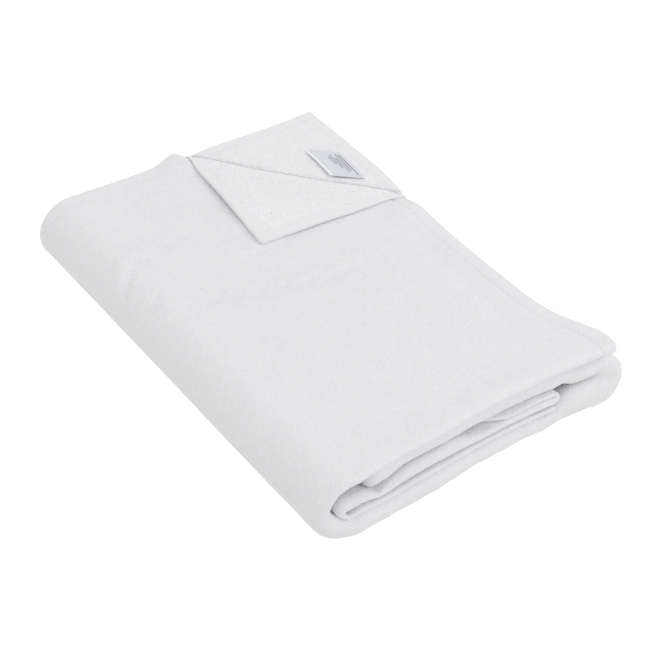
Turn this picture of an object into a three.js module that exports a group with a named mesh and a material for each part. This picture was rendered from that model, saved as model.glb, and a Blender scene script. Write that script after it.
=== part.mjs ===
// A white beach towel folded into a thick flat packet, with the top corner of its upper layer turned over
// so that the looped reverse and the care label show.
//
// Millimetres, +Z up. The packet stands on z = 0. X runs along its short edges: the big rounded fold is at -X
// and the hemmed end of the top layer at +X. Y runs along its long edges: the doubled front edge is at -Y and
// the hemmed free edges at +Y.
//
// The towel is one sheet. It is doubled across its width, pile outside, with the doubling fold at the front.
// The doubled cloth is then folded back and forth along its length: top, base, second, slip, core, tail.
import * as THREE from 'three';
import { mergeVertices } from 'three/addons/utils/BufferGeometryUtils.js';

// Sizes of the packet
const PLY = 3.6; // one thickness of towelling
const PRESSED_PLY = 2.6; // where the packet presses it thin
const PLY_GAP = 0.3; // half of the least space between the two plies of a doubled layer
const BACK_Y = 203; // the hemmed free edges
const FRONT_Y = -200; // the doubled front edge
const TOP_END_X = 131; // the hemmed end of the top layer
const TAIL_END_X = 74; // the hemmed end inside the packet
const ROUND_DEPTH = 8; // a thick layer's doubling is flatter than a half round
const MIDDLE = { x: 4.6, y: 1.55 }; // middle of the packet's box in plan, which becomes the origin

// The turned corner, in plan: it is folded along a line from the back hem to the end hem
const TURN_STEPS = 6; // cloth steps along each side of the corner
const TURN_BACK = { x: 3, y: BACK_Y };
const TURN_SIDE = { x: TOP_END_X, y: 50 };
const TURN_TIP = { x: -12.4, y: 55.7 };
const TURN_BOW = 8; // how far the middle of the fold line bows forward
const TURN_BOW_REACH = 35;
const TURN_RADIUS = 2.2; // middle of the cloth in the turn
const TURN_ROLL_STEPS = 4;
const TIP_GAP = 0.6; // between the flap and the layer that it lies on
const TURN_RISE = 1.3; // how far the upper layer is drawn up towards the turn's ends
const TURN_RISE_MIDDLE = 0.45; // share of that rise at the middle of the turn
const TURN_RISE_REACH = 25;
const BARED_RISE = 5.5; // how far the bared layer swells behind the turn
const BARED_RISE_FROM = 3; // from this far beyond the fold line
const BARED_RISE_TO = 13;
const HEM_LIFT = 2.6; // the flap's free back hem stands up from the layer below
const HEM_LIFT_REACH = 0.3; // share of the flap's width that the lift reaches

// The care label, sewn into the end hem of the bared layer
const LABEL = { length: 46, width: 24, slant: 20, thick: 0.8, gap: 0.1, curl: 1.6, turn: 0.07 };
const LABEL_SEAM = { x: 114.3, y: 109 }; // middle of its sewn edge
const LABEL_STEPS = { along: 4, across: 5 };

// Sections across the packet, each with the bottom and top of every doubled layer there, from the lowest up
const INSIDE = [
  {
    x: -120, base: [0, 15.0], tail: [15.7, 23.2], core: [24.0, 42.0],
    slip: [33.3, 39.9], second: [40.5, 48.2], top: [47.0, 59.0],
  },
  {
    x: -88, base: [0, 14.3], tail: [14.9, 21.6], core: [22.2, 32.7],
    slip: [33.3, 39.9], second: [40.5, 48.2], top: [48.8, 58.5],
  },
  {
    x: -45, base: [0, 13.0], tail: [13.6, 20.2], core: [20.8, 30.8],
    slip: [31.4, 38.0], second: [38.6, 48.2], top: [48.8, 58.5],
  },
  {
    x: 45, base: [0, 13.0], tail: [13.6, 20.2], core: [20.8, 30.6],
    slip: [31.2, 37.8], second: [38.4, 48.2], top: [48.8, 58.5],
  },
  {
    x: 90, base: [0, 14.0], tail: [14.6, 21.2], core: [21.8, 30.4],
    slip: [31.0, 37.4], second: [38.0, 48.2], top: [48.8, 58.5],
  },
  {
    x: 125, base: [0, 20.0], tail: [20.6, 26.0], core: [21.8, 30.4],
    slip: [31.0, 37.4], second: [33.0, 49.0], top: [49.8, 58.5],
  },
];

// The same at the doubled front edge, where the layers swell into their doubling folds. The third number is
// how far the fold lies behind the front.
const FRONT = [
  {
    x: -120, base: [0, 17.5, 0.5], tail: [18.1, 24.1, 3], core: [24.7, 43.0, 2],
    slip: [33.3, 39.9, 3], second: [40.5, 48.2, 1.5], top: [47.8, 58.5, 0],
  },
  {
    x: -100, base: [0, 17.0, 0.5], tail: [17.6, 23.6, 3], core: [24.2, 38.5, 2],
    slip: [33.3, 39.9, 3], second: [40.5, 48.2, 1.5], top: [48.4, 58.5, 0],
  },
  {
    x: -85, base: [0, 16.0, 0.5], tail: [16.6, 22.6, 3], core: [23.6, 32.5, 2],
    slip: [33.2, 39.7, 3], second: [40.5, 48.2, 1.5], top: [48.8, 58.5, 0],
  },
  {
    x: -74, base: [0, 14.8, 0.5], tail: [15.4, 21.4, 3], core: [22.4, 32.0, 2],
    slip: [32.7, 39.1, 18], second: [39.8, 48.2, 1.2], top: [48.8, 58.5, 0],
  },
  {
    x: -60, base: [0, 13.4, 0.5], tail: [14.0, 20.0, 3], core: [21.2, 35.6, 2],
    slip: [31.9, 38.4, 20], second: [36.8, 48.2, 1], top: [48.8, 58.5, 0],
  },
  {
    x: -8, base: [0, 14.0, 0.5], tail: [14.6, 20.6, 3], core: [21.2, 36.2, 2],
    slip: [31.2, 37.8, 20], second: [37.4, 48.2, 1], top: [48.8, 58.5, 0],
  },
  {
    x: 16, base: [0, 14.6, 0.5], tail: [15.2, 21.2, 3], core: [21.8, 30.8, 2],
    slip: [31.4, 37.6, 17], second: [38.2, 48.2, 1], top: [48.8, 58.5, 0],
  },
  {
    x: 40, base: [0, 14.4, 0.5], tail: [15.0, 21.0, 3], core: [21.6, 30.7, 2],
    slip: [31.3, 37.6, 5], second: [38.2, 48.2, 1], top: [48.8, 58.5, 0],
  },
  {
    x: 88, base: [0, 14.0, 0.5], tail: [14.6, 20.6, 3], core: [21.2, 30.2, 2],
    slip: [31.2, 37.4, 2], second: [38.0, 48.2, 1], top: [48.8, 58.5, 0],
  },
  {
    x: 105, base: [0, 24.5, 0.5], tail: [20.6, 26.0, 3], core: [21.2, 30.2, 2],
    slip: [31.2, 37.4, 2], second: [33.8, 48.2, 1], top: [48.8, 58.5, 0],
  },
  {
    x: 124, base: [0, 28.6, 0.5], tail: [20.6, 26.0, 3], core: [21.2, 30.2, 2],
    slip: [31.2, 37.4, 2], second: [31.4, 48.6, 1], top: [49.2, 58.5, 0],
  },
];
const SWELL_FROM = 0.94; // the layers swell in the last share of their way to the front

// Stations of the turned corner along the top layer, one for each cloth step
const CORNER_X = [TOP_END_X, 109.7, 88.3, 67, 45.7, 24.3, TURN_BACK.x];

// The way along the doubled cloth. A run is a flat layer between two places; a turn is a fold about a pivot,
// from one layer to the next. side tells which way a turn bulges.
const WAY = [
  { run: 'top', from: TOP_END_X, to: -111, at: [...CORNER_X, -25, -58, -80, -98] },
  { turn: ['top', 'base'], x: -111, side: -1, steps: 10 },
  { run: 'base', from: -111, to: 124, at: [-98, -80, -58, -25, 5, 35, 65, 90, 108] },
  { turn: ['base', 'second'], x: 124, side: 1, steps: 8 },
  { run: 'second', from: 124, to: -80, at: [108, 90, 65, 35, 5, -25, -58, -70] },
  { turn: ['second', 'slip'], x: -80, side: -1, steps: 5 },
  { run: 'slip', from: -80, to: 89, at: [-70, -58, -25, 5, 35, 65] },
  { turn: ['slip', 'core'], x: 89, side: 1, steps: 6 },
  { run: 'core', from: 89, to: -112, at: [65, 35, 5, -25, -58, -80, -98] },
  { turn: ['core', 'tail'], x: -112, side: -1, steps: 6 },
  { run: 'tail', from: -112, to: TAIL_END_X, at: [-98, -80, -58, -25, 5, 35, TAIL_END_X] },
];

// Rows of the cloth forward of the turned corner, as shares of the way to the start of the front round
const FORWARD_SHARES = [0.25, 0.52, 0.76, SWELL_FROM, 1];
const FRONT_ROUND_STEPS = 6;

// Unevenness of the packet, as tables of place and shift
const END_SHIFT = [
  [-200, 5], [-185, 7], [-165, 2], [-145, -4], [-120, -7.5],
  [-60, -7], [0, -6.5], [50, -5.5], [100, -1], [203, 1],
];
const SIDE_FOLD_SHIFT = [[-200, 2], [-170, -4], [-130, -13], [-60, -15], [203, -12]];
const BIG_FOLD_SHIFT = [[-200, 10], [0, 5], [203, 0]];
const FRONT_SHIFT = [
  [-140, 0.5], [-95, -2.5], [-45, 0], [0, 4.5], [45, 6.5], [90, 4], [125, 2.5], [150, 2.5],
];
// heights: the end hem moves above this band, the side fold below it
const END_SHIFT_BAND = { from: 44, to: 49 };
// distances to the left, and forward, over which the shifts of the big fold and of the front grow
const FOLD_SHIFT_BAND = { from: 60, to: 120 };
const FRONT_SHIFT_BAND = { from: 110, to: 190 };
const SAGS = [ // soft dips and swells of the whole stack: share of the height, centre and reach
  { share: -0.065, x: 135, y: -50, reachX: 45, reachY: 95 },
  { share: -0.02, x: -60, y: 150, reachX: 60, reachY: 60 },
  { share: 0.012, x: 20, y: -120, reachX: 70, reachY: 70 },
  { share: 0.05, x: 140, y: -195, reachX: 28, reachY: 28 },
];

const MERGE_DISTANCE = 1e-4;
const WHITE = 0xe9eaec;
const LABEL_GREY = 0xd3d6dc;

const clamp = THREE.MathUtils.clamp;
const lerp = THREE.MathUtils.lerp;
const smooth = (t) => t * t * (3 - 2 * t);
const ease = (value, from, to) => smooth(clamp((value - from) / (to - from), 0, 1));

// Value of a table of [place, value] rows at a place, on a smooth curve through the rows
function tableAt(rows, place) {
  const last = rows.length - 1;
  if (place <= rows[0][0]) return rows[0][1];
  if (place >= rows[last][0]) return rows[last][1];
  const i = rows.findIndex((row) => row[0] > place) - 1;
  const slopeAt = (k) => {
    const [before, after] = [rows[Math.max(k - 1, 0)], rows[Math.min(k + 1, last)]];
    return (after[1] - before[1]) / (after[0] - before[0]);
  };
  const width = rows[i + 1][0] - rows[i][0];
  const t = (place - rows[i][0]) / width;
  const bend = t * (1 - t) * width * ((1 - t) * slopeAt(i) - t * slopeAt(i + 1));
  return lerp(rows[i][1], rows[i + 1][1], smooth(t)) + bend;
}

// One number of a layer at a place: 0 its bottom, 1 its top, 2 how far its front fold lies back
function layerAt(sections, layer, number, x) {
  return tableAt(sections.map((row) => [row.x, row[layer][number] ?? 0]), x);
}

// One station on the way along the doubled cloth: the middle of its section, the direction of its pile side
// (the right-hand side of the way), half of its thickness, the thickness of one ply, and its front fold
function station(x, z, pileX, pileZ, half, recess) {
  const ply = Math.min(PLY, Math.max(PRESSED_PLY, half - PLY_GAP));
  return { x, z, pileX, pileZ, half, ply, recess, depth: Math.min(half, ROUND_DEPTH) };
}

function runStations({ run, from, to, at }, sections) {
  const heading = Math.sign(to - from);
  return at.map((x) => {
    const bottom = layerAt(sections, run, 0, x);
    const top = layerAt(sections, run, 1, x);
    return station(x, (bottom + top) / 2, 0, -heading, (top - bottom) / 2, layerAt(sections, run, 2, x));
  });
}

function turnStations({ turn, x, side, steps }, sections) {
  const [first, second] = turn;
  const above = layerAt(sections, first, 0, x) > layerAt(sections, second, 0, x) ? first : second;
  const below = above === first ? second : first;
  const ceiling = layerAt(sections, above, 0, x);
  const floor = layerAt(sections, below, 1, x);
  const pivotZ = (ceiling + floor) / 2;
  const inner = (ceiling - floor) / 2;
  const outerTop = layerAt(sections, above, 1, x) - pivotZ;
  const outerBottom = pivotZ - layerAt(sections, below, 0, x);
  const down = above === first ? 1 : -1;
  // the pile side faces away from the pivot where the way turns to its left
  const pile = side * down > 0 ? -1 : 1;
  const stations = [];
  for (let i = 0; i <= steps; i += 1) {
    const angle = down * (0.5 - i / steps) * Math.PI;
    const height = smooth((Math.sin(angle) + 1) / 2);
    const outer = lerp(outerBottom, outerTop, height);
    const recess = lerp(layerAt(sections, below, 2, x), layerAt(sections, above, 2, x), height);
    const outX = side * Math.cos(angle);
    const outZ = Math.sin(angle);
    const middle = (outer + inner) / 2;
    const half = (outer - inner) / 2;
    const place = { x: x + outX * middle, z: pivotZ + outZ * middle };
    stations.push(station(place.x, place.z, outX * pile, outZ * pile, half, recess));
  }
  return stations;
}

// Every station twice: inside the packet and at its front edge
function clothStations() {
  const along = (sections) => WAY.flatMap((part) => (
    part.run ? runStations(part, sections) : turnStations(part, sections)
  ));
  const front = along(FRONT);
  return along(INSIDE).map((inside, i) => ({ inside, front: front[i] }));
}

// Rows across the cloth. Each gives a place along Y, a share of the front round, and its side of the doubling
function clothRows() {
  const cornerY = (k) => lerp(BACK_Y, TURN_SIDE.y, k / TURN_STEPS);
  const corner = Array.from({ length: TURN_STEPS + 1 }, (_, k) => ({ y: cornerY(k), share: 0 }));
  const forward = FORWARD_SHARES.map((share) => ({ y: TURN_SIDE.y, share }));
  const ply = [...corner, ...forward];
  const flat = (rows, side) => rows.map((row) => ({ ...row, angle: 0, side }));
  const round = [];
  for (let i = 1; i < FRONT_ROUND_STEPS; i += 1) {
    round.push({ y: TURN_SIDE.y, share: 1, angle: (i / FRONT_ROUND_STEPS) * Math.PI, side: 0 });
  }
  return [...flat(ply, 1), ...round, ...flat(ply.reverse(), -1)];
}

// The line of the turn: how far a plan point lies beyond it, and its share along it
const turnSpan = { x: TURN_SIDE.x - TURN_BACK.x, y: TURN_SIDE.y - TURN_BACK.y };
const turnLength = Math.hypot(turnSpan.x, turnSpan.y);
const turnAlong = { x: turnSpan.x / turnLength, y: turnSpan.y / turnLength };
const turnOut = { x: -turnAlong.y, y: turnAlong.x };
const beyondTurn = (x, y) => (x - TURN_BACK.x) * turnOut.x + (y - TURN_BACK.y) * turnOut.y;
const alongTurn = (x, y) => ((x - TURN_BACK.x) * turnAlong.x + (y - TURN_BACK.y) * turnAlong.y) / turnLength;

// The fold line bows forward, and takes the cloth beside it along
function bowed(x, y) {
  const share = clamp(alongTurn(x, y), 0, 1);
  const near = Math.exp(-((beyondTurn(x, y) / TURN_BOW_REACH) ** 2));
  const shift = -TURN_BOW * Math.sin(Math.PI * share) * near;
  return { x: x + shift * turnOut.x, y: y + shift * turnOut.y };
}

// The upper layer is drawn up towards the turn, most at its two ends
function turnRise(x, y) {
  const share = clamp(alongTurn(x, y), 0, 1);
  const near = Math.exp(-((beyondTurn(x, y) / TURN_RISE_REACH) ** 2));
  return TURN_RISE * near * lerp(TURN_RISE_MIDDLE, 1, Math.cos(Math.PI * share) ** 2);
}

function baredRise(x, y) {
  const bow = TURN_BOW * Math.sin(Math.PI * clamp(alongTurn(x, y), 0, 1));
  return BARED_RISE * ease(beyondTurn(x, y) + bow, BARED_RISE_FROM, BARED_RISE_TO);
}

// Shifts of the whole packet, which make it as uneven as a packet folded by hand
function uneven(x, y, z) {
  const endShare = ease(x, 0, TOP_END_X);
  const aboveSide = ease(z, END_SHIFT_BAND.from, END_SHIFT_BAND.to);
  const endShift = lerp(tableAt(SIDE_FOLD_SHIFT, y), tableAt(END_SHIFT, y), aboveSide) * endShare;
  const foldShift = tableAt(BIG_FOLD_SHIFT, y) * ease(-x, FOLD_SHIFT_BAND.from, FOLD_SHIFT_BAND.to);
  const frontShift = tableAt(FRONT_SHIFT, x) * ease(-y, FRONT_SHIFT_BAND.from, FRONT_SHIFT_BAND.to);
  let height = 1;
  for (const sag of SAGS) {
    height += sag.share * Math.exp(-(((x - sag.x) / sag.reachX) ** 2) - ((y - sag.y) / sag.reachY) ** 2);
  }
  return new THREE.Vector3(x + endShift + foldShift - MIDDLE.x, y + frontShift - MIDDLE.y, z * height);
}

// A point of the cloth at a station and a row; face is +1 on the pile side and -1 on the looped side
function clothPoint({ inside, front }, row, face, onTop) {
  const swell = ease(row.share, SWELL_FROM, 1);
  const value = (name) => lerp(inside[name], front[name], swell);
  const inset = face > 0 ? 0 : value('ply');
  const offset = (value('half') - inset) * (row.side === 0 ? Math.cos(row.angle) : row.side);
  const roundStart = FRONT_Y + front.recess + front.depth;
  const y = lerp(row.y, roundStart, row.share) - (front.depth - inset) * Math.sin(row.angle);
  const x = value('x') + value('pileX') * offset;
  const z = value('z') + value('pileZ') * offset;
  if (onTop && row.side === 1) {
    const moved = bowed(x, y);
    return new THREE.Vector3(moved.x, moved.y, z + turnRise(x, y));
  }
  if (onTop && row.side === -1) return new THREE.Vector3(x, y, z + baredRise(x, y));
  return new THREE.Vector3(x, y, z);
}

// A point of the turn itself: k counts along the fold line from the end hem, angle around the roll
function rollPoint(k, angle, face, topStation) {
  const share = k / TURN_STEPS;
  const x = lerp(TURN_SIDE.x, TURN_BACK.x, share);
  const y = lerp(TURN_SIDE.y, TURN_BACK.y, share);
  const line = bowed(x, y);
  const middle = topStation.z + topStation.half - topStation.ply / 2 + turnRise(x, y);
  const radius = TURN_RADIUS - (face * topStation.ply) / 2;
  const out = radius * Math.sin(angle);
  const z = middle + TURN_RADIUS - radius * Math.cos(angle);
  return new THREE.Vector3(line.x + out * turnOut.x, line.y + out * turnOut.y, z);
}

// A point of the flap: p and q are the shares of the corner's two hems
function flapPoint(p, q, face, topStation) {
  const x = TURN_TIP.x + p * (TURN_BACK.x - TURN_TIP.x) + q * (TURN_SIDE.x - TURN_TIP.x);
  const y = TURN_TIP.y + p * (TURN_BACK.y - TURN_TIP.y) + q * (TURN_SIDE.y - TURN_TIP.y);
  const line = bowed(x, y);
  const upper = topStation.z + topStation.half - topStation.ply / 2 + turnRise(x, y);
  const settled = topStation.ply + TIP_GAP;
  const lift = lerp(settled, 2 * TURN_RADIUS, smooth(clamp(p + q, 0, 1)));
  const hem = HEM_LIFT * Math.exp(-((q / HEM_LIFT_REACH) ** 2)) * Math.sin(Math.PI * clamp(p, 0, 1)) ** 2;
  return new THREE.Vector3(line.x, line.y, upper + lift + hem - (face * topStation.ply) / 2);
}

// The towel: a flat net of cloth points, mapped once for its pile side and once for its looped side
function towelGeometry() {
  const stations = clothStations();
  const topCount = WAY[0].at.length;
  const rows = clothRows();
  const makers = [];
  const triangles = [];
  const add = (maker) => makers.push(maker) - 1;

  const grid = stations.map((place, i) => rows.map((row, j) => {
    const onTop = i < topCount;
    const turned = i + j < TURN_STEPS;
    if (turned) return add((face) => flapPoint(i / TURN_STEPS, j / TURN_STEPS, face, place.inside));
    return add((face) => clothPoint(place, row, face, onTop));
  }));

  // the roll runs along the diagonal of the corner
  const roll = [];
  for (let k = 0; k <= TURN_STEPS; k += 1) {
    const strip = [grid[k][TURN_STEPS - k]];
    for (let r = 1; r <= TURN_ROLL_STEPS; r += 1) {
      const angle = (r / TURN_ROLL_STEPS) * Math.PI;
      strip.push(add((face) => rollPoint(k, angle, face, stations[k].inside)));
    }
    roll.push(strip);
  }
  for (let k = 0; k < TURN_STEPS; k += 1) {
    for (let r = 0; r < TURN_ROLL_STEPS; r += 1) {
      const [a, b, c, d] = [roll[k][r], roll[k + 1][r], roll[k + 1][r + 1], roll[k][r + 1]];
      triangles.push([a, c, b], [a, d, c]);
    }
  }

  // a square's corner on the diagonal belongs to the flap or to the layer, as the rest of its triangle does
  const onFlap = (i, j) => (i + j === TURN_STEPS ? roll[i][TURN_ROLL_STEPS] : grid[i][j]);
  const onLayer = (i, j) => grid[i][j];
  for (let i = 0; i + 1 < stations.length; i += 1) {
    for (let j = 0; j + 1 < rows.length; j += 1) {
      const first = i + j < TURN_STEPS ? onFlap : onLayer;
      const second = i + j + 1 < TURN_STEPS ? onFlap : onLayer;
      if (rows[j].side === -1) {
        // below the turn the squares are split along the fold line too
        triangles.push([first(i, j), first(i + 1, j), first(i + 1, j + 1)]);
        triangles.push([first(i, j), first(i + 1, j + 1), first(i, j + 1)]);
      } else {
        triangles.push([first(i, j), first(i + 1, j), first(i, j + 1)]);
        triangles.push([second(i + 1, j), second(i + 1, j + 1), second(i, j + 1)]);
      }
    }
  }
  return closedSheet(makers, triangles);
}

// A closed body from a flat net: its two faces, and a wall along its free edges
function closedSheet(makers, triangles) {
  const count = makers.length;
  const points = [...makers.map((maker) => maker(1)), ...makers.map((maker) => maker(-1))];
  const moved = points.map((p) => uneven(p.x, p.y, p.z));
  const faces = [];
  const edges = new Map();
  for (const [a, b, c] of triangles) {
    faces.push([a, b, c], [a + count, c + count, b + count]);
    for (const [from, to] of [[a, b], [b, c], [c, a]]) {
      if (edges.has(`${to},${from}`)) edges.delete(`${to},${from}`);
      else edges.set(`${from},${to}`, [from, to]);
    }
  }
  for (const [from, to] of edges.values()) {
    faces.push([to, from, from + count], [to, from + count, to + count]);
  }
  const geometry = new THREE.BufferGeometry();
  const coordinates = new Float32Array(moved.flatMap((p) => [p.x, p.y, p.z]));
  geometry.setAttribute('position', new THREE.BufferAttribute(coordinates, 3));
  geometry.setIndex(faces.flat());
  return faceOut(mergeVertices(geometry, MERGE_DISTANCE));
}

// Turns a closed body's faces outwards, by the sign of its volume
function faceOut(geometry) {
  const at = geometry.getAttribute('position');
  const order = Array.from(geometry.getIndex().array);
  const corner = (i) => new THREE.Vector3().fromBufferAttribute(at, order[i]);
  let volume = 0;
  for (let i = 0; i < order.length; i += 3) {
    volume += corner(i).dot(corner(i + 1).cross(corner(i + 2)));
  }
  if (volume < 0) order.reverse();
  geometry.setIndex(order);
  geometry.computeVertexNormals();
  return geometry;
}

// The label: a thin satin strip on the bared layer, sewn at one long edge and curling up at the other
function labelGeometry() {
  const top = runStations(WAY[0], INSIDE)[0];
  const looped = top.z - top.half + top.ply;
  const makers = [];
  const triangles = [];
  const { along, across } = LABEL_STEPS;
  for (let i = 0; i <= along; i += 1) {
    for (let j = 0; j <= across; j += 1) {
      const run = (i / along - 0.5) * LABEL.length;
      const width = (j / across) * LABEL.width;
      const x = LABEL_SEAM.x - width + run * LABEL.turn;
      const y = LABEL_SEAM.y + run + (j / across) * LABEL.slant;
      const curl = LABEL.curl * (j / across) ** 2;
      const z = looped + baredRise(x, y) + LABEL.gap + curl;
      makers.push((face) => new THREE.Vector3(x, y, z + (face > 0 ? LABEL.thick : 0)));
    }
  }
  const at = (i, j) => i * (across + 1) + j;
  for (let i = 0; i < along; i += 1) {
    for (let j = 0; j < across; j += 1) {
      triangles.push([at(i, j), at(i + 1, j), at(i + 1, j + 1)], [at(i, j), at(i + 1, j + 1), at(i, j + 1)]);
    }
  }
  return closedSheet(makers, triangles);
}

function clothMesh(name, geometry, colour, roughness) {
  const material = new THREE.MeshStandardMaterial({ color: colour, roughness, metalness: 0 });
  const mesh = new THREE.Mesh(geometry, material);
  mesh.name = name;
  return mesh;
}

const towel = new THREE.Group();
towel.add(clothMesh('towel', towelGeometry(), WHITE, 0.95));
towel.add(clothMesh('label', labelGeometry(), LABEL_GREY, 0.45));

export default towel;
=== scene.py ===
"""A white beach towel folded into a thick flat packet, with the top corner of its upper layer turned over.

Sizes are millimetres in the packet's own plan, as in the part's source: the doubled front edge is at -Y,
the big rounded fold at -X, and the hemmed ends at +X and +Y. METRE turns them into the frame's metres.
"""

import logging
import math
from dataclasses import dataclass, field
from enum import Enum

import bpy
import numpy as np
from mathutils import Matrix, Vector, noise


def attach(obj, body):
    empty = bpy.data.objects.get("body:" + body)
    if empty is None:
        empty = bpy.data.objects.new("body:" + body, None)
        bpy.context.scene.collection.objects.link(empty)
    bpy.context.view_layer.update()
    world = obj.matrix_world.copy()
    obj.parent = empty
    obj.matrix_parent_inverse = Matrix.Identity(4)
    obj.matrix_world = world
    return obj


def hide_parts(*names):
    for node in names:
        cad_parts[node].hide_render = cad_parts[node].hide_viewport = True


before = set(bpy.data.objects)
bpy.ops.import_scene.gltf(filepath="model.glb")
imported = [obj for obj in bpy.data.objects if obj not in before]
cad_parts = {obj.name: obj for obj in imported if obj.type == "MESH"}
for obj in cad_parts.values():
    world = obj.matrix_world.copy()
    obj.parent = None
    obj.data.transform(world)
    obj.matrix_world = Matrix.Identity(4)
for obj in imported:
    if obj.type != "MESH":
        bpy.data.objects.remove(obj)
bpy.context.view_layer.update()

METRE = 0.001
Array = np.ndarray
Colour = tuple[float, float, float]
Polygons = list[list[int]]
log = logging.getLogger("towel")


def smooth(t: Array | float) -> Array | float:
    """Eases a share from 0 to 1 with level ends."""
    return t * t * (3 - 2 * t)


def ease(value: Array | float, start: float, end: float) -> Array | float:
    """Share of the way from start to end, eased and clamped."""
    return smooth(np.clip((value - start) / (end - start), 0, 1))


def mix(first: Array | float, second: Array | float, share: Array | float) -> Array | float:
    """Value between two values."""
    return first + (second - first) * share


class Wire:
    """A shader socket that takes part in Python arithmetic, which adds Math nodes."""

    def __init__(self, graph: "Graph", socket: bpy.types.NodeSocket) -> None:
        """Keeps the socket and its graph."""
        self.graph = graph
        self.socket = socket

    def math(self, operation: str, *values: "Wire | float") -> "Wire":
        """Result of one Math node on these values."""
        return self.graph.node("ShaderNodeMath", {"operation": operation}, dict(enumerate(values)))

    def __add__(self, other: "Wire | float") -> "Wire":
        """Sum."""
        return self.math("ADD", self, other)

    def __radd__(self, other: float) -> "Wire":
        """Sum, reflected."""
        return self.math("ADD", other, self)

    def __sub__(self, other: "Wire | float") -> "Wire":
        """Difference."""
        return self.math("SUBTRACT", self, other)

    def __rsub__(self, other: float) -> "Wire":
        """Difference, reflected."""
        return self.math("SUBTRACT", other, self)

    def __mul__(self, other: "Wire | float") -> "Wire":
        """Product."""
        return self.math("MULTIPLY", self, other)

    def __rmul__(self, other: float) -> "Wire":
        """Product, reflected."""
        return self.math("MULTIPLY", other, self)

    def __truediv__(self, other: "Wire | float") -> "Wire":
        """Quotient."""
        return self.math("DIVIDE", self, other)

    def __lt__(self, other: "Wire | float") -> "Wire":
        """One where this is less than the other."""
        return self.math("LESS_THAN", self, other)

    def least(self, other: "Wire | float") -> "Wire":
        """The smaller of two values."""
        return self.math("MINIMUM", self, other)

    def size(self) -> "Wire":
        """Absolute value."""
        return self.math("ABSOLUTE", self)

    def between(self, start: float, end: float) -> "Wire":
        """Eased share of the way from one value to another.

        Args:
            start: where the share is 0.
            end: where it is 1.

        Returns:
            The share.
        """
        settings = {"interpolation_type": "SMOOTHSTEP", "clamp": True}
        values = {"Value": self, "From Min": start, "From Max": end}
        return self.graph.node("ShaderNodeMapRange", settings, values)

    def axes(self) -> tuple["Wire", "Wire", "Wire"]:
        """Splits a vector.

        Returns:
            Its three components.
        """
        first = self.graph.node("ShaderNodeSeparateXYZ", {}, {"Vector": self})
        outputs = first.socket.node.outputs
        return first, Wire(self.graph, outputs[1]), Wire(self.graph, outputs[2])


class Graph:
    """The nodes of one material."""

    def __init__(self, name: str) -> None:
        """Starts an empty material.

        Args:
            name: the material's name.
        """
        self.material = bpy.data.materials.new(name)
        self.material.use_nodes = True
        self.tree = self.material.node_tree
        self.tree.nodes.clear()

    def node(self, kind: str, settings: dict, values: dict, output: int | str = 0) -> Wire:
        """Adds one node.

        Args:
            kind: the node's type.
            settings: its own settings, set first.
            values: what goes into its sockets, by name or number: a wire, a number or a colour.
            output: the output to return.

        Returns:
            The wire of that output.
        """
        made = self.tree.nodes.new(kind)
        for key, value in settings.items():
            setattr(made, key, value)
        for key, value in values.items():
            self.plug(made.inputs[key], value)
        return Wire(self, made.outputs[output])

    def plug(self, socket: bpy.types.NodeSocket, value: "Wire | float | Colour") -> None:
        """Links a wire to a socket, or sets the socket's own value.

        Args:
            socket: the socket.
            value: the wire, number or colour that goes into it.
        """
        if isinstance(value, Wire):
            self.tree.links.new(value.socket, socket)
        elif isinstance(value, tuple) and len(value) == 3 and socket.type == "RGBA":
            socket.default_value = (*value, 1.0)
        else:
            socket.default_value = value

    def object_place(self) -> Wire:
        """Place in the object's own metres."""
        return self.node("ShaderNodeTexCoord", {}, {}, "Object")

    def cloth_place(self) -> Wire:
        """Place on the flat cloth, in metres."""
        return self.node("ShaderNodeUVMap", {"uv_map": ClothMesh.FLAT}, {})

    def grain(self, place: Wire, pitch: float, detail: float = 1.0, roughness: float = 0.5) -> Wire:
        """Soft noise with a pitch in millimetres, about 0 to 1."""
        values = {"Vector": place, "Scale": 1 / (pitch * METRE), "Detail": detail, "Roughness": roughness}
        return self.node("ShaderNodeTexNoise", {"noise_dimensions": "3D"}, values)

    def nubs(self, place: Wire, pitch: float) -> Wire:
        """Distance to the nearest of scattered nubs, in pitches, with a pitch in millimetres."""
        values = {"Vector": place, "Scale": 1 / (pitch * METRE), "Randomness": 0.85}
        return self.node("ShaderNodeTexVoronoi", {"feature": "F1"}, values, "Distance")

    def blend(self, share: Wire, first: "Wire | Colour", second: "Wire | Colour") -> Wire:
        """Mixes two colours."""
        return self.node("ShaderNodeMix", {"data_type": "RGBA"}, {0: share, 6: first, 7: second}, 2)

    def bump(self, height: Wire, strength: float, depth: float) -> Wire:
        """Normal from a height of 0 to 1 that stands for a depth in millimetres."""
        values = {"Strength": strength, "Distance": depth * METRE, "Height": height}
        return self.node("ShaderNodeBump", {}, values)

    def surface(self, **values: "Wire | float | Colour") -> bpy.types.Material:
        """Ends the graph in a Principled shader.

        Args:
            **values: what goes into its sockets, with _ for a space.

        Returns:
            The finished material.
        """
        named = {key.replace("_", " "): value for key, value in values.items()}
        shader = self.node("ShaderNodeBsdfPrincipled", {}, named)
        output = self.tree.nodes.new("ShaderNodeOutputMaterial")
        self.tree.links.new(shader.socket, output.inputs["Surface"])
        return self.material


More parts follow.
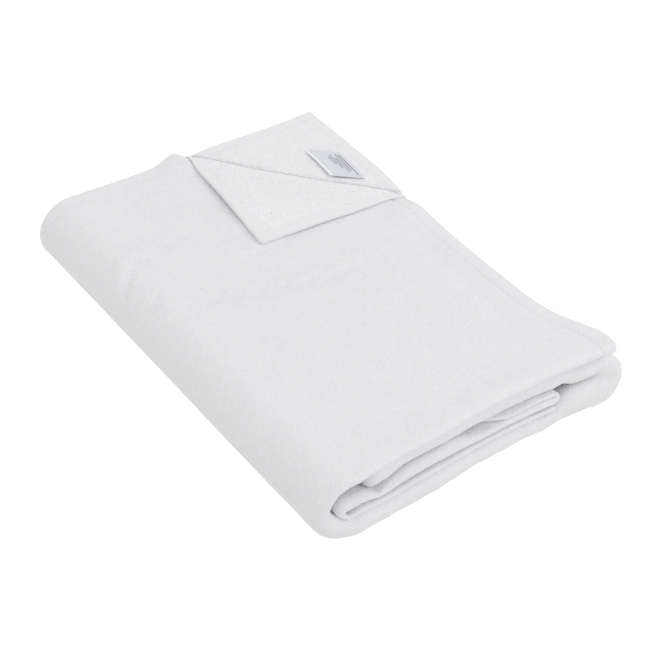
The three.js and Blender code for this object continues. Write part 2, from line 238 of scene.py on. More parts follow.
@dataclass(frozen=True)
class Profile:
    """A smooth curve through rows of place and value.

    Attributes:
        rows: the rows, in order of place.
    """

    rows: tuple[tuple[float, float], ...]

    def at(self, place: Array | float) -> Array:
        """Values at some places.

        Args:
            place: where to read the curve; beyond its ends it stays level.

        Returns:
            The values, in the shape of place.
        """
        places = np.array([row[0] for row in self.rows])
        values = np.array([row[1] for row in self.rows])
        last = len(places) - 1
        before = np.maximum(np.arange(last + 1) - 1, 0)
        after = np.minimum(np.arange(last + 1) + 1, last)
        slopes = (values[after] - values[before]) / (places[after] - places[before])
        place = np.clip(np.asarray(place, float), places[0], places[-1])
        i = np.clip(np.searchsorted(places, place, side="right") - 1, 0, last - 1)
        width = places[i + 1] - places[i]
        t = (place - places[i]) / width
        bend = t * (1 - t) * width * ((1 - t) * slopes[i] - t * slopes[i + 1])
        return mix(values[i], values[i + 1], smooth(t)) + bend


class Layer(Enum):
    """The doubled layers of the packet, from the lowest up."""

    BASE = "base"
    TAIL = "tail"
    CORE = "core"
    SLIP = "slip"
    SECOND = "second"
    TOP = "top"


@dataclass(frozen=True)
class Section:
    """A section across the packet.

    Attributes:
        x: its place.
        base, tail, core, slip, second, top: each layer's bottom and top and, at the front edge, how far its
            fold lies back.
    """

    x: float
    base: tuple[float, ...]
    tail: tuple[float, ...]
    core: tuple[float, ...]
    slip: tuple[float, ...]
    second: tuple[float, ...]
    top: tuple[float, ...]


INSIDE = (
    Section(-120, (0, 15.0), (15.7, 23.2), (24.0, 42.0), (33.3, 39.9), (40.5, 48.2), (47.0, 59.0)),
    Section(-88, (0, 14.3), (14.9, 21.6), (22.2, 32.7), (33.3, 39.9), (40.5, 48.2), (48.8, 58.5)),
    Section(-45, (0, 13.0), (13.6, 20.2), (20.8, 30.8), (31.4, 38.0), (38.6, 48.2), (48.8, 58.5)),
    Section(45, (0, 13.0), (13.6, 20.2), (20.8, 30.6), (31.2, 37.8), (38.4, 48.2), (48.8, 58.5)),
    Section(90, (0, 14.0), (14.6, 21.2), (21.8, 30.4), (31.0, 37.4), (38.0, 48.2), (48.8, 58.5)),
    Section(125, (0, 20.0), (20.6, 26.0), (21.8, 30.4), (31.0, 37.4), (33.0, 49.0), (49.8, 58.5)),
)
# The front edge. Its heights follow a scratch script's fit to the photograph, rounded and changed by hand.
FRONT = (
    Section(-120, (0, 19.6, 0.5), (20, 23.6, 1.5), (24, 38, 3.5),
            (30.4, 33.8, 14), (38, 51.4, 4.5), (52, 57.4, 0)),
    Section(-105, (0, 22.6, 0.5), (23, 26.6, 1.5), (27, 38.4, 3.5),
            (30.4, 33.8, 14), (37, 55.4, 4.5), (56, 61.4, 0)),
    Section(-92, (0, 22.1, 0.5), (22.5, 26.1, 1.5), (26.5, 34.5, 3.5),
            (30.4, 33.8, 14), (36, 55.9, 4.5), (56.5, 62, 0)),
    Section(-80, (0, 21.1, 0.5), (21.5, 25.1, 1.5), (25.5, 29.6, 3.5),
            (30.4, 33.8, 14), (34.2, 55.9, 4.5), (56.5, 62, 0)),
    Section(-68, (0, 20.6, 0.5), (21, 24.6, 1.5), (25, 33.4, 3.5),
            (32, 37.6, 26), (33.9, 56.4, 5.6), (57, 62.5, 0)),
    Section(-50, (0, 22.1, 0.5), (22.5, 26.1, 1.5), (26.5, 37.4, 3.5),
            (32, 37.6, 26), (38, 56.9, 5.6), (57.5, 63, 0)),
    Section(-30, (0, 22.6, 0.5), (23, 26.6, 1.5), (27, 37.6, 3.5),
            (32, 37.6, 26), (38.2, 56.9, 5.6), (57.5, 63, 0)),
    Section(-8, (0, 21.1, 0.5), (21.5, 25.1, 1.5), (25.5, 36.4, 3.5),
            (32, 37.4, 26), (37, 55.9, 5.6), (56.5, 62.2, 0)),
    Section(16, (0, 19.6, 0.5), (20, 23.6, 1.5), (24, 29.8, 3),
            (30.4, 33.9, 17), (34.5, 55.4, 5.6), (56, 61.9, 0)),
    Section(40, (0, 19.1, 0.5), (19.5, 23.1, 1.5), (23.5, 29.6, 3),
            (30, 33.8, 4.5), (34.3, 54.9, 5.4), (55.5, 61.5, 0)),
    Section(64, (0, 18.1, 0.5), (18.5, 22.1, 1.5), (22.5, 29.8, 3),
            (30.2, 34.2, 4.5), (34.8, 53.9, 5.2), (54.5, 61, 0)),
    Section(88, (0, 17.1, 0.5), (17.5, 21.1, 1.5), (21.5, 28.8, 3),
            (29.2, 32.9, 4.5), (33.5, 52.4, 4.8), (53, 60.4, 0)),
    Section(99, (0, 24.5, 0.5), (17.5, 21.1, 1.5), (21.5, 28.8, 3),
            (29.2, 32.9, 4.5), (34.2, 51.4, 4.5), (52, 60, 0)),
    Section(107, (0, 28, 0.5), (17.5, 21.1, 1.5), (21.5, 28.8, 3),
            (29.2, 32.9, 4.5), (31.5, 50.4, 2.5), (51.2, 59.4, 0)),
    Section(124, (0, 28.6, 0.5), (17.5, 21.1, 1.5), (21.5, 28.8, 3),
            (29.2, 32.9, 4.5), (31.4, 48.6, 2), (49.2, 57.4, 0)),
)


@dataclass(frozen=True)
class Run:
    """A flat layer between two places along X, with the number of its steps."""

    layer: Layer
    start: float
    end: float
    steps: int


@dataclass(frozen=True)
class Fold:
    """A fold from one layer to the next.

    Attributes:
        first, second: the layers, in the order of the cloth's way.
        x: place of its pivot.
        side: the side to which it bulges, 1 or -1.
        steps: the number of its steps.
        inner_reach: how much further out its inside lies than in a half round.
        outer_reach: the same for its outside, most in its lower half.
    """

    first: Layer
    second: Layer
    x: float
    side: int
    steps: int
    inner_reach: float = 0.0
    outer_reach: float = 0.0


@dataclass
class Stations:
    """Numbers of the doubled cloth along its way, one for each station.

    Attributes:
        x, z: the middle of the section.
        pile_x, pile_z: direction of the upper ply's pile side.
        half: half of the section's thickness.
        recess: how far the front fold lies back.
    """

    x: Array
    z: Array
    pile_x: Array
    pile_z: Array
    half: Array
    recess: Array


@dataclass(frozen=True)
class Sag:
    """A soft dip or swell of the whole stack: share of the height, centre and reach."""

    share: float
    x: float
    y: float
    reach_x: float
    reach_y: float


@dataclass
class Packet:
    """The folded packet: how its layers lie, and how uneven it is.

    Attributes:
        ply, pressed_ply: thickness of one ply where it lies loose, and the least where it is pressed.
        ply_gap: how far a ply's looped side stays from the middle of its layer.
        back_y, front_y: places of the back hems and of the doubled front edge.
        top_end_x, tail_end_x: places of the end hems of the top layer and of the hidden tail.
        big_fold_x, side_fold_x, second_fold_x, slip_fold_x, core_fold_x: pivots of the folds.
        round_depth: depth of a front fold.
        swell_from: share of the way to the front where the layers begin to swell.
        middle: the packet's middle, which is the part's origin.
        corner_steps, corner_crowding: cloth steps of the turned corner, and how they crowd at its hems.
        corner_back_x, corner_side_y: where the turn meets the back hem and the end hem.
        end_shift, side_fold_shift, big_fold_shift: how the sides wander in X with Y.
        front_shift: how the front edge wanders in Y with X, mostly as the scratch script's fit gave it.
        end_shift_band: heights between which the end hem's wander takes over from the side fold's.
        fold_shift_band, front_shift_band: how far from the middle the big fold and the front edge wander.
        sags: soft dips and swells of the whole stack.
        ripples: pitch and size of the small unevenness all over.
        ripple_band: heights between which it grows.
        lumps: how lumpy each layer's front fold is, from the lowest layer up.
        lump_pitches: pitch and share of those lumps.
        way: the cloth's way through the packet, from the turned corner in.
    """

    ply: float = 3.6
    pressed_ply: float = 1.5
    ply_gap: float = 0.3
    back_y: float = 203
    front_y: float = -200
    top_end_x: float = 131
    tail_end_x: float = 88
    big_fold_x: float = -111
    side_fold_x: float = 124
    second_fold_x: float = -80
    slip_fold_x: float = 89
    core_fold_x: float = -116
    round_depth: float = 8
    swell_from: float = 0.86
    middle: tuple[float, float] = (4.6, 1.55)
    corner_steps: int = 48
    corner_crowding: float = 0.55
    corner_back_x: float = 3
    corner_side_y: float = 50
    end_shift: Profile = Profile((
        (-200, 5), (-185, 7), (-165, 2), (-145, -4), (-120, -7.5),
        (-60, -7), (0, -6.5), (50, -5.5), (100, -1), (203, 1),
    ))
    side_fold_shift: Profile = Profile(((-200, -3), (-170, -9), (-130, -18), (-60, -20), (203, -17)))
    big_fold_shift: Profile = Profile(((-200, 13), (-150, 8.5), (0, 5), (203, 0)))
    front_shift: Profile = Profile((
        (-140, 0.5), (-105, -3.6), (-80, -2.4), (-50, -1.7), (-30, -0.9), (-8, 1.6), (16, 3.9), (64, 4.6),
        (105, 4.1), (124, 2.5), (150, 2.5),
    ))
    end_shift_band: tuple[float, float] = (44, 49)
    fold_shift_band: tuple[float, float] = (60, 120)
    front_shift_band: tuple[float, float] = (110, 190)
    sags: tuple[Sag, ...] = (
        Sag(-0.065, 135, -50, 45, 95),
        Sag(-0.02, -60, 150, 60, 60),
        Sag(0.012, 20, -120, 70, 70),
        Sag(0.05, 140, -195, 28, 28),
    )
    ripples: tuple[tuple[float, float], ...] = ((38, 0.7), (15, 0.28))
    ripple_band: tuple[float, float] = (4, 30)
    lumps: tuple[float, ...] = (1.6, 0.2, 0.6, 0.4, 1.1, 0.6)
    lump_pitches: tuple[tuple[float, float], ...] = ((19, 1.0), (8, 0.5))
    way: tuple[Run | Fold, ...] = (
        Run(Layer.TOP, corner_back_x, big_fold_x, 30),
        Fold(Layer.TOP, Layer.BASE, big_fold_x, -1, 24, 4.2),
        Run(Layer.BASE, big_fold_x, side_fold_x, 36),
        Fold(Layer.BASE, Layer.SECOND, side_fold_x, 1, 16, 3.0, 8.0),
        Run(Layer.SECOND, side_fold_x, second_fold_x, 24),
        Fold(Layer.SECOND, Layer.SLIP, second_fold_x, -1, 8),
        Run(Layer.SLIP, second_fold_x, slip_fold_x, 14),
        Fold(Layer.SLIP, Layer.CORE, slip_fold_x, 1, 8),
        Run(Layer.CORE, slip_fold_x, core_fold_x, 18),
        Fold(Layer.CORE, Layer.TAIL, core_fold_x, -1, 8, 2.0),
        Run(Layer.TAIL, core_fold_x, tail_end_x, 18),
    )

    def corner_shares(self) -> Array:
        """Shares of the cloth steps along each side of the turned corner, closer together at its hems."""
        t = np.arange(self.corner_steps + 1) / self.corner_steps
        return t - self.corner_crowding * np.sin(2 * np.pi * t) / (2 * np.pi)

    @staticmethod
    def layer_at(sections: tuple[Section, ...], layer: Layer, number: int, x: Array | float) -> Array:
        """Reads one number of a layer.

        Args:
            sections: the table of sections to read.
            layer: the layer.
            number: 0 for its bottom, 1 for its top, 2 for how far its front fold lies back.
            x: the places.

        Returns:
            The number at each place.
        """
        rows = []
        for section in sections:
            numbers = getattr(section, layer.value)
            rows.append((section.x, numbers[number] if number < len(numbers) else 0.0))
        return Profile(tuple(rows)).at(x)

    def run_part(self, sections: tuple[Section, ...], layer: Layer, x: Array, heading: float) -> Array:
        """Numbers of a flat layer's stations.

        Args:
            sections: the table of sections to read.
            layer: the layer.
            x: the stations' places.
            heading: -1 where the way runs to the left.

        Returns:
            One row of x, z, pile_x, pile_z, half and recess for each station.
        """
        bottom, top, recess = (self.layer_at(sections, layer, number, x) for number in range(3))
        level = np.zeros_like(x)
        return np.stack([x, (bottom + top) / 2, level, level - heading, (top - bottom) / 2, recess], axis=1)

    def fold_part(self, sections: tuple[Section, ...], fold: Fold) -> Array:
        """Numbers of a fold's stations.

        Args:
            sections: the table of sections to read.
            fold: the fold.

        Returns:
            One row of x, z, pile_x, pile_z, half and recess for each station.
        """
        pair = (fold.first, fold.second)
        lows = {layer: float(self.layer_at(sections, layer, 0, fold.x)) for layer in pair}
        above = max(lows, key=lows.get)
        below = min(lows, key=lows.get)
        ceiling = lows[above]
        floor = float(self.layer_at(sections, below, 1, fold.x))
        pivot = (ceiling + floor) / 2
        inner = (ceiling - floor) / 2
        outer_top = float(self.layer_at(sections, above, 1, fold.x)) - pivot
        outer_bottom = pivot - lows[below]
        down = 1 if above is fold.first else -1
        pile = -1 if fold.side * down > 0 else 1
        angle = down * (0.5 - np.arange(fold.steps + 1) / fold.steps) * np.pi
        height = smooth((np.sin(angle) + 1) / 2)
        outer = mix(outer_bottom, outer_top, height)
        outer = outer + fold.outer_reach * np.cos(angle) * (1 - np.sin(angle))
        recess = mix(
            self.layer_at(sections, below, 2, fold.x), self.layer_at(sections, above, 2, fold.x), height
        )
        out_x, out_z = fold.side * np.cos(angle), np.sin(angle)
        inside = inner + fold.inner_reach * np.cos(angle) ** 2
        middle, half = (outer + inside) / 2, (outer - inside) / 2
        x, z = fold.x + out_x * middle, pivot + out_z * middle
        return np.stack([x, z, out_x * pile, out_z * pile, half, recess], axis=1)

    def stations(self, sections: tuple[Section, ...]) -> Stations:
        """All stations along the doubled cloth, from its end hem in.

        Args:
            sections: the table of sections to read, inside the packet or at its front.

        Returns:
            The stations, those of the turned corner first.
        """
        corner_x = mix(self.top_end_x, self.corner_back_x, self.corner_shares())
        parts = [self.run_part(sections, Layer.TOP, corner_x, -1)]
        for part in self.way:
            if isinstance(part, Fold):
                parts.append(self.fold_part(sections, part))
                continue
            steps = np.arange(1, part.steps + (part is self.way[-1]))
            x = mix(part.start, part.end, steps / part.steps)
            parts.append(self.run_part(sections, part.layer, x, np.sign(part.end - part.start)))
        return Stations(*np.concatenate(parts).T)

    def top_face(self, number: int) -> float:
        """Height of the top layer at the turned corner: 0 for its lower face, 1 for its upper one."""
        return float(self.layer_at(INSIDE, Layer.TOP, number, self.top_end_x))

    def lumpiness(self) -> Array:
        """Works out how lumpy the front folds are.

        Returns:
            The height of the lumps at each station.
        """
        size = dict(zip(Layer, self.lumps))
        parts = [np.full(self.corner_steps + 1, size[Layer.TOP])]
        for part in self.way:
            if isinstance(part, Fold):
                parts.append(mix(size[part.first], size[part.second], np.linspace(0, 1, part.steps + 1)))
            else:
                parts.append(np.full(part.steps - 1 + (part is self.way[-1]), size[part.layer]))
        return np.concatenate(parts)

    def uneven(self, points: Array) -> Array:
        """Makes the packet as uneven as one folded by hand.

        Args:
            points: points of the even packet, in its own millimetres.

        Returns:
            The same points in metres, in the part's frame.
        """
        x, y, z = points.T
        above_side = ease(z, *self.end_shift_band)
        end_shift = mix(self.side_fold_shift.at(y), self.end_shift.at(y), above_side)
        end_shift = end_shift * ease(x, 0, self.top_end_x)
        fold_shift = self.big_fold_shift.at(y) * ease(-x, *self.fold_shift_band)
        front_shift = self.front_shift.at(x) * ease(-y, *self.front_shift_band)
        height = np.ones_like(x)
        for sag in self.sags:
            away_x, away_y = (x - sag.x) / sag.reach_x, (y - sag.y) / sag.reach_y
            height += sag.share * np.exp(-(away_x**2) - away_y**2)
        lift = np.zeros_like(x)
        for pitch, size in self.ripples:
            for i, point in enumerate(points):
                lift[i] += size * noise.noise(Vector(point) / pitch)
        lift *= ease(z, *self.ripple_band)
        level = np.maximum(z * height + lift, 0)
        moved = np.stack([x + end_shift + fold_shift, y + front_shift, level], axis=1)
        return (moved - [*self.middle, 0]) * METRE


@dataclass(frozen=True)
class Crease:
    """A soft trough pressed into the upper layer, by hand.

    Attributes:
        route: its points, as place along the cloth from the middle of the packet and place along Y.
        depth: how deep it is; less than zero makes a ridge.
        width: half of its width.
        lip: height of the fullness beside it, on its left-hand side.
    """

    FADE = (-0.02, 0.3)
    LIP_PLACE = 1.9
    LIP_REACH = 1.3
    LIP_END = 6

    route: tuple[tuple[float, float], ...]
    depth: float
    width: float
    lip: float = 0.0

    def relief(self, along: Array, y: Array) -> Array:
        """Height that the crease adds.

        Args:
            along: places along the cloth.
            y: places along Y.

        Returns:
            The heights, less than zero in the trough.
        """
        route = np.array(self.route, float)
        best = np.full(along.shape, np.inf)
        side = np.zeros(along.shape)
        share = np.zeros(along.shape)
        lengths = np.hypot(*np.diff(route, axis=0).T)
        starts = np.concatenate([[0], np.cumsum(lengths)])
        for start, end, length, before in zip(route[:-1], route[1:], lengths, starts):
            way = (end - start) / length
            reach_x, reach_y = along - start[0], y - start[1]
            t = np.clip(reach_x * way[0] + reach_y * way[1], 0, length)
            off_x, off_y = reach_x - t * way[0], reach_y - t * way[1]
            distance = np.hypot(off_x, off_y)
            nearer = distance < best
            best = np.where(nearer, distance, best)
            side = np.where(nearer, way[0] * off_y - way[1] * off_x, side)
            share = np.where(nearer, (before + t) / starts[-1], share)
        fade = ease(share, *self.FADE) * ease(1 - share, *self.FADE)
        trough = -self.depth * np.exp(-((best / self.width) ** 2))
        away = (side - self.LIP_PLACE * self.width) / (self.LIP_REACH * self.width)
        beside = self.lip * np.exp(-(away**2)) * (best < self.LIP_END * self.width)
        return fade * (trough + beside)


@dataclass(frozen=True)
class Hem:
    """A hem: the cloth's edge turned in and stitched down.

    Attributes:
        width: from the edge to the stitches.
        groove: how deep the stitches draw the cloth in.
        groove_width: half of the groove's width.
        fullness: how far the turned edge stands proud.
        pucker: height of the small gathers beside the stitches.
        pucker_pitch: their pitch.
        turned_end: width over which the turned edge's fullness ends, up to the stitches.
        pucker_place, pucker_reach: how far past the stitches the gathers are highest, and their spread.
        wander, wander_pitch: how the gathers' pitch wanders along the hem.
        fading, fading_pitch: how their height comes and goes.
    """

    width: float = 12.0
    groove: float = 0.4
    groove_width: float = 1.7
    fullness: float = 0.2
    pucker: float = 0.3
    pucker_pitch: float = 7.5
    turned_end: float = 3.0
    pucker_place: float = 2.5
    pucker_reach: float = 5.5
    wander: float = 1.7
    wander_pitch: float = 19.0
    fading: float = 0.4
    fading_pitch: float = 31.0

    def relief(self, edge: Array, run: Array) -> Array:
        """Height of the cloth's face beside the hem.

        Args:
            edge: distance to the cloth's edge.
            run: place along the hem.

        Returns:
            The heights.
        """
        groove = -self.groove * np.exp(-(((edge - self.width) / self.groove_width) ** 2))
        band = self.fullness * (1 - ease(edge, self.width - self.turned_end, self.width))
        near = np.exp(-(((edge - self.width - self.pucker_place) / self.pucker_reach) ** 2))
        wander = self.wander * np.sin(run / self.wander_pitch)
        wave = np.sin(2 * np.pi * run / self.pucker_pitch + wander)
        height = 1 - self.fading + self.fading * np.sin(run / self.fading_pitch)
        return groove + band + self.pucker * near * wave * height


@dataclass
class TurnedCorner:
    """The corner of the upper layer, turned over along a line from the back hem to the end hem.

    Attributes:
        packet: the packet that it belongs to.
        tip: where the corner's tip lies, turned over.
        bow, bow_reach: how far the fold line bows forward, and how far the cloth beside it follows.
        slack: room inside the turn.
        pressed_ply: thickness of the cloth where the turn is pressed flat.
        pressed_reach, pressed_length: how far from the line, and from its ends, it is pressed.
        roll_steps: steps around the turn.
        tip_gap: gap under the tip.
        rise, rise_middle, rise_reach: rise of the cloth towards the turn, its share at the middle, and reach.
        swells: place, height and reach of the swells where the turn meets the hems.
        bared_rise, bared_band: how far the bared cloth rises behind the turn, and between which distances.
        bared_lip, bared_lip_reach: how much higher it stands close to the turn, and how far back.
        hem_lift, hem_lift_reach: how far the flap's back hem lifts, and the share of the flap that follows.
    """

    packet: Packet
    tip: tuple[float, float] = (-12.4, 55.7)
    bow: float = 8
    bow_reach: float = 35
    slack: float = 0.1
    pressed_ply: float = 1.7
    pressed_reach: float = 30
    pressed_length: float = 110
    roll_steps: int = 8
    tip_gap: float = 0.6
    rise: float = 0.5
    rise_middle: float = 0.45
    rise_reach: float = 25
    swells: tuple[tuple[float, float, float, float], ...] = (
        (-9, 199, 8.0, 13), (116, 24, 5.0, 17), (4, 203, -5.0, 9), (131, 50, -3.0, 12),
    )
    bared_rise: float = 5.2
    bared_band: tuple[float, float] = (1.5, 5.4)
    bared_lip: float = 4.0
    bared_lip_reach: float = 20
    hem_lift: float = 2.0
    hem_lift_reach: float = 0.3

    def __post_init__(self) -> None:
        """Works out the fold line from the packet's hems."""
        self.back = np.array([self.packet.corner_back_x, self.packet.back_y])
        self.side = np.array([self.packet.top_end_x, self.packet.corner_side_y])
        span = self.side - self.back
        self.length = float(np.hypot(*span))
        self.along = span / self.length
        self.out = np.array([-self.along[1], self.along[0]])

    def beyond(self, x: Array, y: Array) -> Array:
        """Distance of plan points beyond the fold line."""
        return (x - self.back[0]) * self.out[0] + (y - self.back[1]) * self.out[1]

    def share(self, x: Array, y: Array) -> Array:
        """Share of plan points along the fold line, clamped."""
        reach = (x - self.back[0]) * self.along[0] + (y - self.back[1]) * self.along[1]
        return np.clip(reach / self.length, 0, 1)

    def behind(self, x: Array, y: Array) -> Array:
        """Distance of plan points behind the bowed line of the turn."""
        return self.beyond(x, y) + self.bow * np.sin(np.pi * self.share(x, y))

    def bowed(self, x: Array, y: Array) -> tuple[Array, Array]:
        """Bows the fold line forward, with the cloth beside it.

        Args:
            x, y: plan points.

        Returns:
            The points' new places, x and y.
        """
        near = np.exp(-((self.beyond(x, y) / self.bow_reach) ** 2))
        shift = -self.bow * np.sin(np.pi * self.share(x, y)) * near
        return x + shift * self.out[0], y + shift * self.out[1]

    def drawn_up(self, x: Array, y: Array) -> Array:
        """Draws the upper ply up towards the turn, most at its two ends.

        Args:
            x, y: plan points.

        Returns:
            How far it rises there.
        """
        near = np.exp(-((self.beyond(x, y) / self.rise_reach) ** 2))
        ends = np.cos(np.pi * self.share(x, y)) ** 2
        rise = self.rise * near * mix(self.rise_middle, 1, ends)
        for middle_x, middle_y, height, reach in self.swells:
            rise = rise + height * np.exp(-((x - middle_x) ** 2 + (y - middle_y) ** 2) / reach**2)
        return rise

    def bared(self, x: Array, y: Array) -> Array:
        """Raises the lower ply where the turned corner leaves it bare.

        Args:
            x, y: plan points.

        Returns:
            How far it rises there.
        """
        reach = self.behind(x, y)
        past = np.maximum(reach - self.bared_band[1], 0) / self.bared_lip_reach
        lip = self.bared_lip * np.exp(-(past**2)) * (1 - self.pressed(x, y))
        return (self.bared_rise + lip) * ease(reach, *self.bared_band)

    def pressed(self, x: Array, y: Array) -> Array:
        """Works out how far the turn is pressed flat, most at its ends.

        Args:
            x, y: plan points.

        Returns:
            The share, from 0 to 1.
        """
        place = self.share(x, y) * self.length
        ends = np.exp(-((place / self.pressed_length) ** 2))
        ends = ends + np.exp(-(((self.length - place) / self.pressed_length) ** 2))
        return np.minimum(ends, 1) * np.exp(-((self.beyond(x, y) / self.pressed_reach) ** 2))

    def ply(self, x: Array, y: Array) -> Array:
        """Thickness of the upper ply beside the turn."""
        return mix(self.packet.ply, self.pressed_ply, self.pressed(x, y))

    def radius(self, x: Array, y: Array) -> Array:
        """Radius of the turn at the middle of the cloth."""
        return self.ply(x, y) / 2 + self.slack

    def ceiling(self) -> float:
        """Height of the pile side of the upper ply at the corner."""
        return self.packet.top_face(1)

    def roll(self, share: Array, angle: float, face: int) -> Array:
        """Points of the turn itself.

        Args:
            share: shares along the fold line, from the end hem to the back hem.
            angle: angle around the roll, from the layer to the flap.
            face: 1 for the pile side, -1 for the looped side.

        Returns:
            The points.
        """
        x, y = mix(self.side[0], self.back[0], share), mix(self.side[1], self.back[1], share)
        line_x, line_y = self.bowed(x, y)
        ply, middle = self.ply(x, y), self.radius(x, y)
        radius = middle - face * ply / 2
        out = radius * math.sin(angle)
        z = self.ceiling() - ply / 2 + self.drawn_up(x, y) + middle - radius * math.cos(angle)
        return np.stack([line_x + out * self.out[0], line_y + out * self.out[1], z], axis=-1)

    def flap(self, p: Array, q: Array, face: int) -> Array:
        """Points of the flap.

        Args:
            p: shares along the corner's back hem, from the tip.
            q: shares along its end hem, from the tip.
            face: 1 for the pile side, -1 for the looped side.

        Returns:
            The points.
        """
        x = self.tip[0] + p * (self.back[0] - self.tip[0]) + q * (self.side[0] - self.tip[0])
        y = self.tip[1] + p * (self.back[1] - self.tip[1]) + q * (self.side[1] - self.tip[1])
        line_x, line_y = self.bowed(x, y)
        ply = self.ply(x, y)
        upper = self.ceiling() - ply / 2 + self.drawn_up(x, y)
        lift = mix(ply + self.tip_gap, 2 * self.radius(x, y), smooth(np.clip(p + q, 0, 1)))
        along_hem = np.sin(np.pi * np.clip(p, 0, 1)) ** 2
        hem = self.hem_lift * np.exp(-((q / self.hem_lift_reach) ** 2)) * along_hem
        return np.stack([line_x, line_y, upper + lift + hem - face * ply / 2], axis=-1)


@dataclass
class Patch:
    """A stretch of one face of the folded cloth.

    Attributes:
        nodes: its points in metres, by u and v.
        u, v: places of its nodes on the flat cloth, in millimetres.
        turn: -1 where the patch is seen from its other side.
    """

    nodes: Array
    u: Array
    v: Array
    turn: int = 1

    def at(self, u: Array, v: Array) -> tuple[Array, Array, Array]:
        """Places on the patch.

        Args:
            u: places along the cloth.
            v: places across it.

        Returns:
            The points, the unit normals, and the unit directions along u, all in metres.
        """
        i = np.clip(np.searchsorted(self.u, u, side="right") - 1, 0, len(self.u) - 2)
        j = np.clip(np.searchsorted(self.v, v, side="right") - 1, 0, len(self.v) - 2)
        s = ((u - self.u[i]) / (self.u[i + 1] - self.u[i]))[:, None]
        t = ((v - self.v[j]) / (self.v[j + 1] - self.v[j]))[:, None]
        a, b = self.nodes[i, j], self.nodes[i + 1, j]
        c, d = self.nodes[i + 1, j + 1], self.nodes[i, j + 1]
        point = mix(mix(a, b, s), mix(d, c, s), t)
        along, across = mix(b - a, c - d, t), mix(d - a, c - b, s)
        normal = np.cross(along, across) * self.turn
        normal /= np.linalg.norm(normal, axis=1)[:, None]
        along /= np.linalg.norm(along, axis=1)[:, None]
        return point, normal, along

    def scatter(self, pitch: float, jitter: float, draw: np.random.Generator) -> tuple[Array, Array]:
        """Jittered places all over the patch.

        Args:
            pitch: space between them, in millimetres.
            jitter: share of the pitch by which they are moved.
            draw: the source of the jitter.

        Returns:
            The places, u and v.
        """
        rows = (np.arange(nodes[0] + pitch / 2, nodes[-1], pitch) for nodes in (self.u, self.v))
        u, v = (grid.ravel() for grid in np.meshgrid(*rows))
        shift_u, shift_v = draw.uniform(-jitter, jitter, (2, u.size)) * pitch
        return np.clip(u + shift_u, self.u[0], self.u[-1]), np.clip(v + shift_v, self.v[0], self.v[-1])


class Side(Enum):
    """The two faces of the cloth, with the sign of their offset."""

    PILE = 1
    LOOPED = -1


